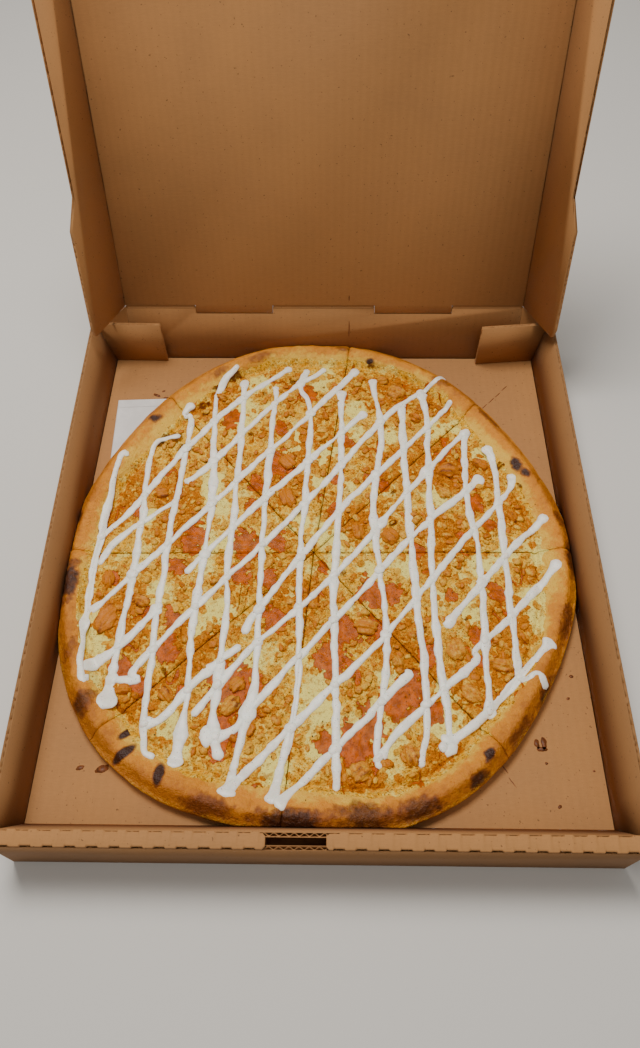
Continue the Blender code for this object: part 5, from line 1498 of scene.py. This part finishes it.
def stroke_tube(path, half_width, height, fields, wave):
    """One stroke: a low flat dome of changing width, with fat round ends, carried along a path.

    The half width is multiplied by two layers of noise and by bells at the ends and at the wide places.
    The dome stands on a blend of the ground's own height and its mean and top across the stroke."""
    steps = np.linalg.norm(np.diff(path, axis=0), axis=1)
    run = np.concatenate(([0], np.cumsum(steps)))
    way = np.gradient(path, axis=0)
    way /= np.linalg.norm(way, axis=1)[:, None]
    side = np.stack((-way[:, 1], way[:, 0]), -1)
    path = path + side * (0.0012 * noise(run, 0 * run + wave * 3.1, 0 * run, 0.015, 41, 2))[:, None]
    width = half_width * (1 + 0.40 * noise(run, 0 * run + wave * 1.7, 0 * run, 0.030, 43, 2)
                          + 0.30 * noise(run, 0 * run + wave * 2.3, 0 * run, 0.009, 47, 2))
    for end, strength in ((run[0], 0.5 + 0.5 * math.sin(wave * 12.9)),
                          (run[-1], 0.65 + 0.5 * math.sin(wave * 7.3))):
        width = width * (1 + 1.15 * max(0, strength) * np.exp(-((run - end) / 0.008) ** 2))
    for bx, by, reach, wider in DRIZZLE_BLOBS:
        width = width * (1 + wider * np.exp(-(np.hypot(path[:, 0] - bx, path[:, 1] - by) / reach) ** 2))
    from_end = np.minimum(run, run[-1] - run)
    taper = np.sqrt(np.clip(1 - (1 - np.clip(from_end / width, 0, 1)) ** 2, 0.0004, 1))
    width = width * taper
    over = np.array((-1, -0.95, -0.84, -0.66, -0.44, -0.22, 0, 0.22, 0.44, 0.66, 0.84, 0.95, 1))
    lateral = np.concatenate((over, (0.6, 0, -0.6)))
    rise = np.concatenate((1.4 * (1 - np.abs(over) ** 3.4) ** 0.5 - 0.4, (-0.9, -0.9, -0.9)))
    ragged = noise(run, 0 * run + wave, 0 * run, 0.0045, 53, 2)[:, None] * np.abs(lateral) * 0.22
    places = path[:, None] + side[:, None] * ((lateral * (1 + ragged))[..., None] * width[:, None, None])
    ground = np.maximum(*upper_surface(fields, places[..., 0], places[..., 1])[:2])
    kernel = np.exp(-(np.arange(-3, 4) / 1.8) ** 2)
    kernel /= kernel.sum()
    padded = np.pad(ground, ((3, 3), (0, 0)), mode="edge")
    ground = np.stack([np.convolve(padded[:, c], kernel, "valid") for c in range(ground.shape[1])], 1)
    level = ground * 0.35 + (ground.mean(1, keepdims=True) * 0.5 + ground.max(1, keepdims=True) * 0.5) * 0.65
    tall = height * (0.75 + 0.25 * np.minimum(width / half_width, 2.2))[:, None] * taper[:, None]
    z = level + 0.0001 + rise[None] * tall
    thin = np.repeat(smooth(1 - width / (half_width * 0.8))[:, None], len(lateral), 1)
    edge = np.concatenate((np.abs(over) ** 6, (1, 1, 1)))[None] * 0.75
    return np.stack((places[..., 0], places[..., 1], z), -1), np.clip(0.6 * thin + edge, 0, 1)


class PIZZABOX_OT_drizzle(bpy.types.Operator):
    """Builds the creamy drizzle: strokes of changing width, with puddles where they cross"""
    bl_idname = "pizzabox.drizzle"
    bl_label = "Drizzle"

    def execute(self, context):
        settings = context.scene.pizzabox_pizza
        fields = shared_fields(settings)
        points, quads, rings, thins, start = [], [], [], [], 0
        paths = [smooth_path(stroke, STROKE_STEP) for stroke in STROKES]
        for number, path in enumerate(paths):
            tube, thin = stroke_tube(path, settings.drizzle_half_width, settings.drizzle_height, fields,
                                     number + 0.37)
            rows, count = tube.shape[:2]
            points.append(tube.reshape(-1, 3))
            thins.append(thin.ravel())
            quads.append(grid_quads(rows, count, around=True) + start)
            rings += [start + ring for ring in end_rings(rows, count)]
            start += rows * count
        piece = piece_from("drizzle_strokes", np.concatenate(points), np.concatenate(quads), rings=rings,
                           attributes={"thin": np.concatenate(thins)})
        made_of = drizzle_material(settings)
        fix_normals(piece)
        finished(piece, "tray", made_of, slot="cheese")
        self.puddles(settings, fields, paths, made_of)
        return {"FINISHED"}

    def puddles(self, settings, fields, paths, made_of):
        """Low rounded puddles where two strokes cross or meet."""
        spots = []
        for index, path in enumerate(paths):
            for other in paths[index + 1:]:
                gap = np.linalg.norm(path[:, None] - other[None], axis=-1)
                near = np.unravel_index(gap.argmin(), gap.shape)
                if gap[near] < 0.002:
                    spots.append((path[near[0]] + other[near[1]]) / 2)
        spots = np.array(spots)
        draw = np.random.default_rng(settings.seed + 5)
        size = draw.uniform(0.0034, 0.0056, len(spots))
        sizes = np.stack((size, size * draw.uniform(0.6, 0.95, len(spots)), np.full(len(spots), 0.0016)), -1)
        ground = upper_surface(fields, spots[:, 0], spots[:, 1])
        level = np.maximum(ground[0], ground[1]) * 0.5 + 0.5 * (CHEESE_TOP_Z + 0.0012)
        centres = np.stack((spots[:, 0], spots[:, 1], level), -1)
        turns = draw.uniform(0.6, 1.1, len(spots))
        points, quads, caps, _ = lumpy_balls(centres, sizes, turns, 19, 12, 20, 0.25, 0)
        piece = piece_from("drizzle_puddles", points, quads, caps,
                           attributes={"thin": np.zeros(len(points))})
        finished(piece, "tray", made_of, slot="cheese")


class PIZZABOX_OT_herbs(bpy.types.Operator):
    """Scatters specks of dried herb and pepper over the pizza"""
    bl_idname = "pizzabox.herbs"
    bl_label = "Herb specks"

    def execute(self, context):
        settings = context.scene.pizzabox_pizza
        fields = shared_fields(settings)
        draw = np.random.default_rng(settings.seed + 9)
        x, y = scatter(draw, HERB_SPECKS, HERB_REACH)
        ground = upper_surface(fields, x, y)
        centres = np.stack((x, y, np.maximum(ground[0], ground[1]) + 0.0001), -1)
        size = draw.uniform(0.00025, 0.0007, len(x))
        sizes = np.stack((size, size * draw.uniform(0.4, 0.9, len(x)), size * 0.5), -1)
        points, quads, caps, _ = lumpy_balls(centres, sizes, draw.uniform(0, np.pi, len(x)), 7, 3, 6, 0.4, 0)
        piece = piece_from("herb_specks", points, quads, caps)
        finished(piece, "tray", herb_material(settings))
        return {"FINISHED"}


class PIZZABOX_OT_stage(bpy.types.Operator):
    """Sets the pale studio floor, the soft light and the camera at the photograph's angle"""
    bl_idname = "pizzabox.stage"
    bl_label = "Studio"

    def execute(self, context):
        settings = context.scene.pizzabox_stage
        made = Recipe("studio_floor")
        cloud = made.clouds(1.5, 2, 0.5)
        colour = made.mix(cloud, scaled(settings.floor, 0.97), settings.floor)
        made_of = made.finish(colour, 0.75)
        corners = np.array(((-4, -4, -0.0002), (4, -4, -0.0002), (4, 4, -0.0002), (-4, 4, -0.0002)))
        floor = piece_from("studio_floor", corners, [(0, 1, 2, 3)], flat=True)
        floor.data.materials.append(made_of)
        self.light("key_light", (-0.26, 0.40, 1.60), (0, -0.02, 0), 0.6, 0.6, settings.key_power)
        self.light("front_fill", (0.10, -0.85, 1.75), (0, 0.1, 0.15), 1.2, 0.9, settings.fill_power)
        world = bpy.data.worlds.new("studio")
        world.use_nodes = True
        world.node_tree.nodes["Background"].inputs["Color"].default_value = (1.0, 0.985, 0.96, 1)
        world.node_tree.nodes["Background"].inputs["Strength"].default_value = settings.world
        context.scene.world = world
        self.camera(context)
        return {"FINISHED"}

    def light(self, name, place, target, wide, deep, power):
        """A rectangular area light at a place, turned toward its target."""
        lamp = bpy.data.lights.new(name, "AREA")
        lamp.shape = "RECTANGLE"
        lamp.size, lamp.size_y = wide, deep
        lamp.energy = power
        lamp.color = (1.0, 0.96, 0.90)
        holder = bpy.data.objects.new(name, lamp)
        holder.location = place
        holder.rotation_euler = (Vector(target) - Vector(place)).to_track_quat("-Z", "Y").to_euler()
        bpy.context.scene.collection.objects.link(holder)

    def camera(self, context):
        """A camera at the place that a fit to the box's creases in the photograph gave."""
        pitch, yaw, roll = (math.radians(angle) for angle in CAMERA_TURNS)
        forward = Vector((math.sin(yaw) * math.cos(pitch), math.cos(yaw) * math.cos(pitch),
                          -math.sin(pitch)))
        level = Vector((math.cos(yaw), -math.sin(yaw), 0))
        above = level.cross(forward)
        right = math.cos(roll) * level + math.sin(roll) * above
        up = -math.sin(roll) * level + math.cos(roll) * above
        lens = bpy.data.cameras.new("photo_camera")
        lens.sensor_width = 36
        lens.lens = 36 * FOCAL_PIXELS / PICTURE_HEIGHT
        lens.shift_y = (AXIS_ROW - MIDDLE_ROW) / PICTURE_HEIGHT
        lens.clip_start = 0.01
        holder = bpy.data.objects.new("photo_camera", lens)
        turn = Matrix((right, up, -forward)).transposed()
        holder.matrix_world = Matrix.Translation(CAMERA_PLACE) @ turn.to_4x4()
        context.scene.collection.objects.link(holder)
        context.scene.camera = holder


OPERATORS = (PIZZABOX_OT_board, PIZZABOX_OT_creases, PIZZABOX_OT_roll, PIZZABOX_OT_bag, PIZZABOX_OT_crust,
             PIZZABOX_OT_cheese, PIZZABOX_OT_chicken, PIZZABOX_OT_drizzle, PIZZABOX_OT_herbs,
             PIZZABOX_OT_stage)


class PIZZABOX_PT_panel(bpy.types.Panel):
    """Lists the settings and the steps that build the pizza in its box"""
    bl_idname = "PIZZABOX_PT_panel"
    bl_label = "Pizza in its box"
    bl_space_type = "VIEW_3D"
    bl_region_type = "UI"
    bl_category = "Pizza Box"

    def draw(self, context):
        scene = context.scene
        for group in (scene.pizzabox_board, scene.pizzabox_pizza, scene.pizzabox_stage):
            box = self.layout.box()
            for key in group.__annotations__:
                box.prop(group, key)
        for operator in OPERATORS:
            self.layout.operator(operator.bl_idname)


CLASSES = (PIZZABOX_PG_board, PIZZABOX_PG_pizza, PIZZABOX_PG_stage, *OPERATORS, PIZZABOX_PT_panel)


def register():
    for made in CLASSES:
        bpy.utils.register_class(made)
    bpy.types.Scene.pizzabox_board = PointerProperty(type=PIZZABOX_PG_board)
    bpy.types.Scene.pizzabox_pizza = PointerProperty(type=PIZZABOX_PG_pizza)
    bpy.types.Scene.pizzabox_stage = PointerProperty(type=PIZZABOX_PG_stage)


def unregister():
    del bpy.types.Scene.pizzabox_stage
    del bpy.types.Scene.pizzabox_pizza
    del bpy.types.Scene.pizzabox_board
    for made in reversed(CLASSES):
        bpy.utils.unregister_class(made)


def main():
    register()
    for operator in OPERATORS:
        getattr(bpy.ops.pizzabox, operator.bl_idname.split(".")[1])()


if __name__ == "__main__":
    main()
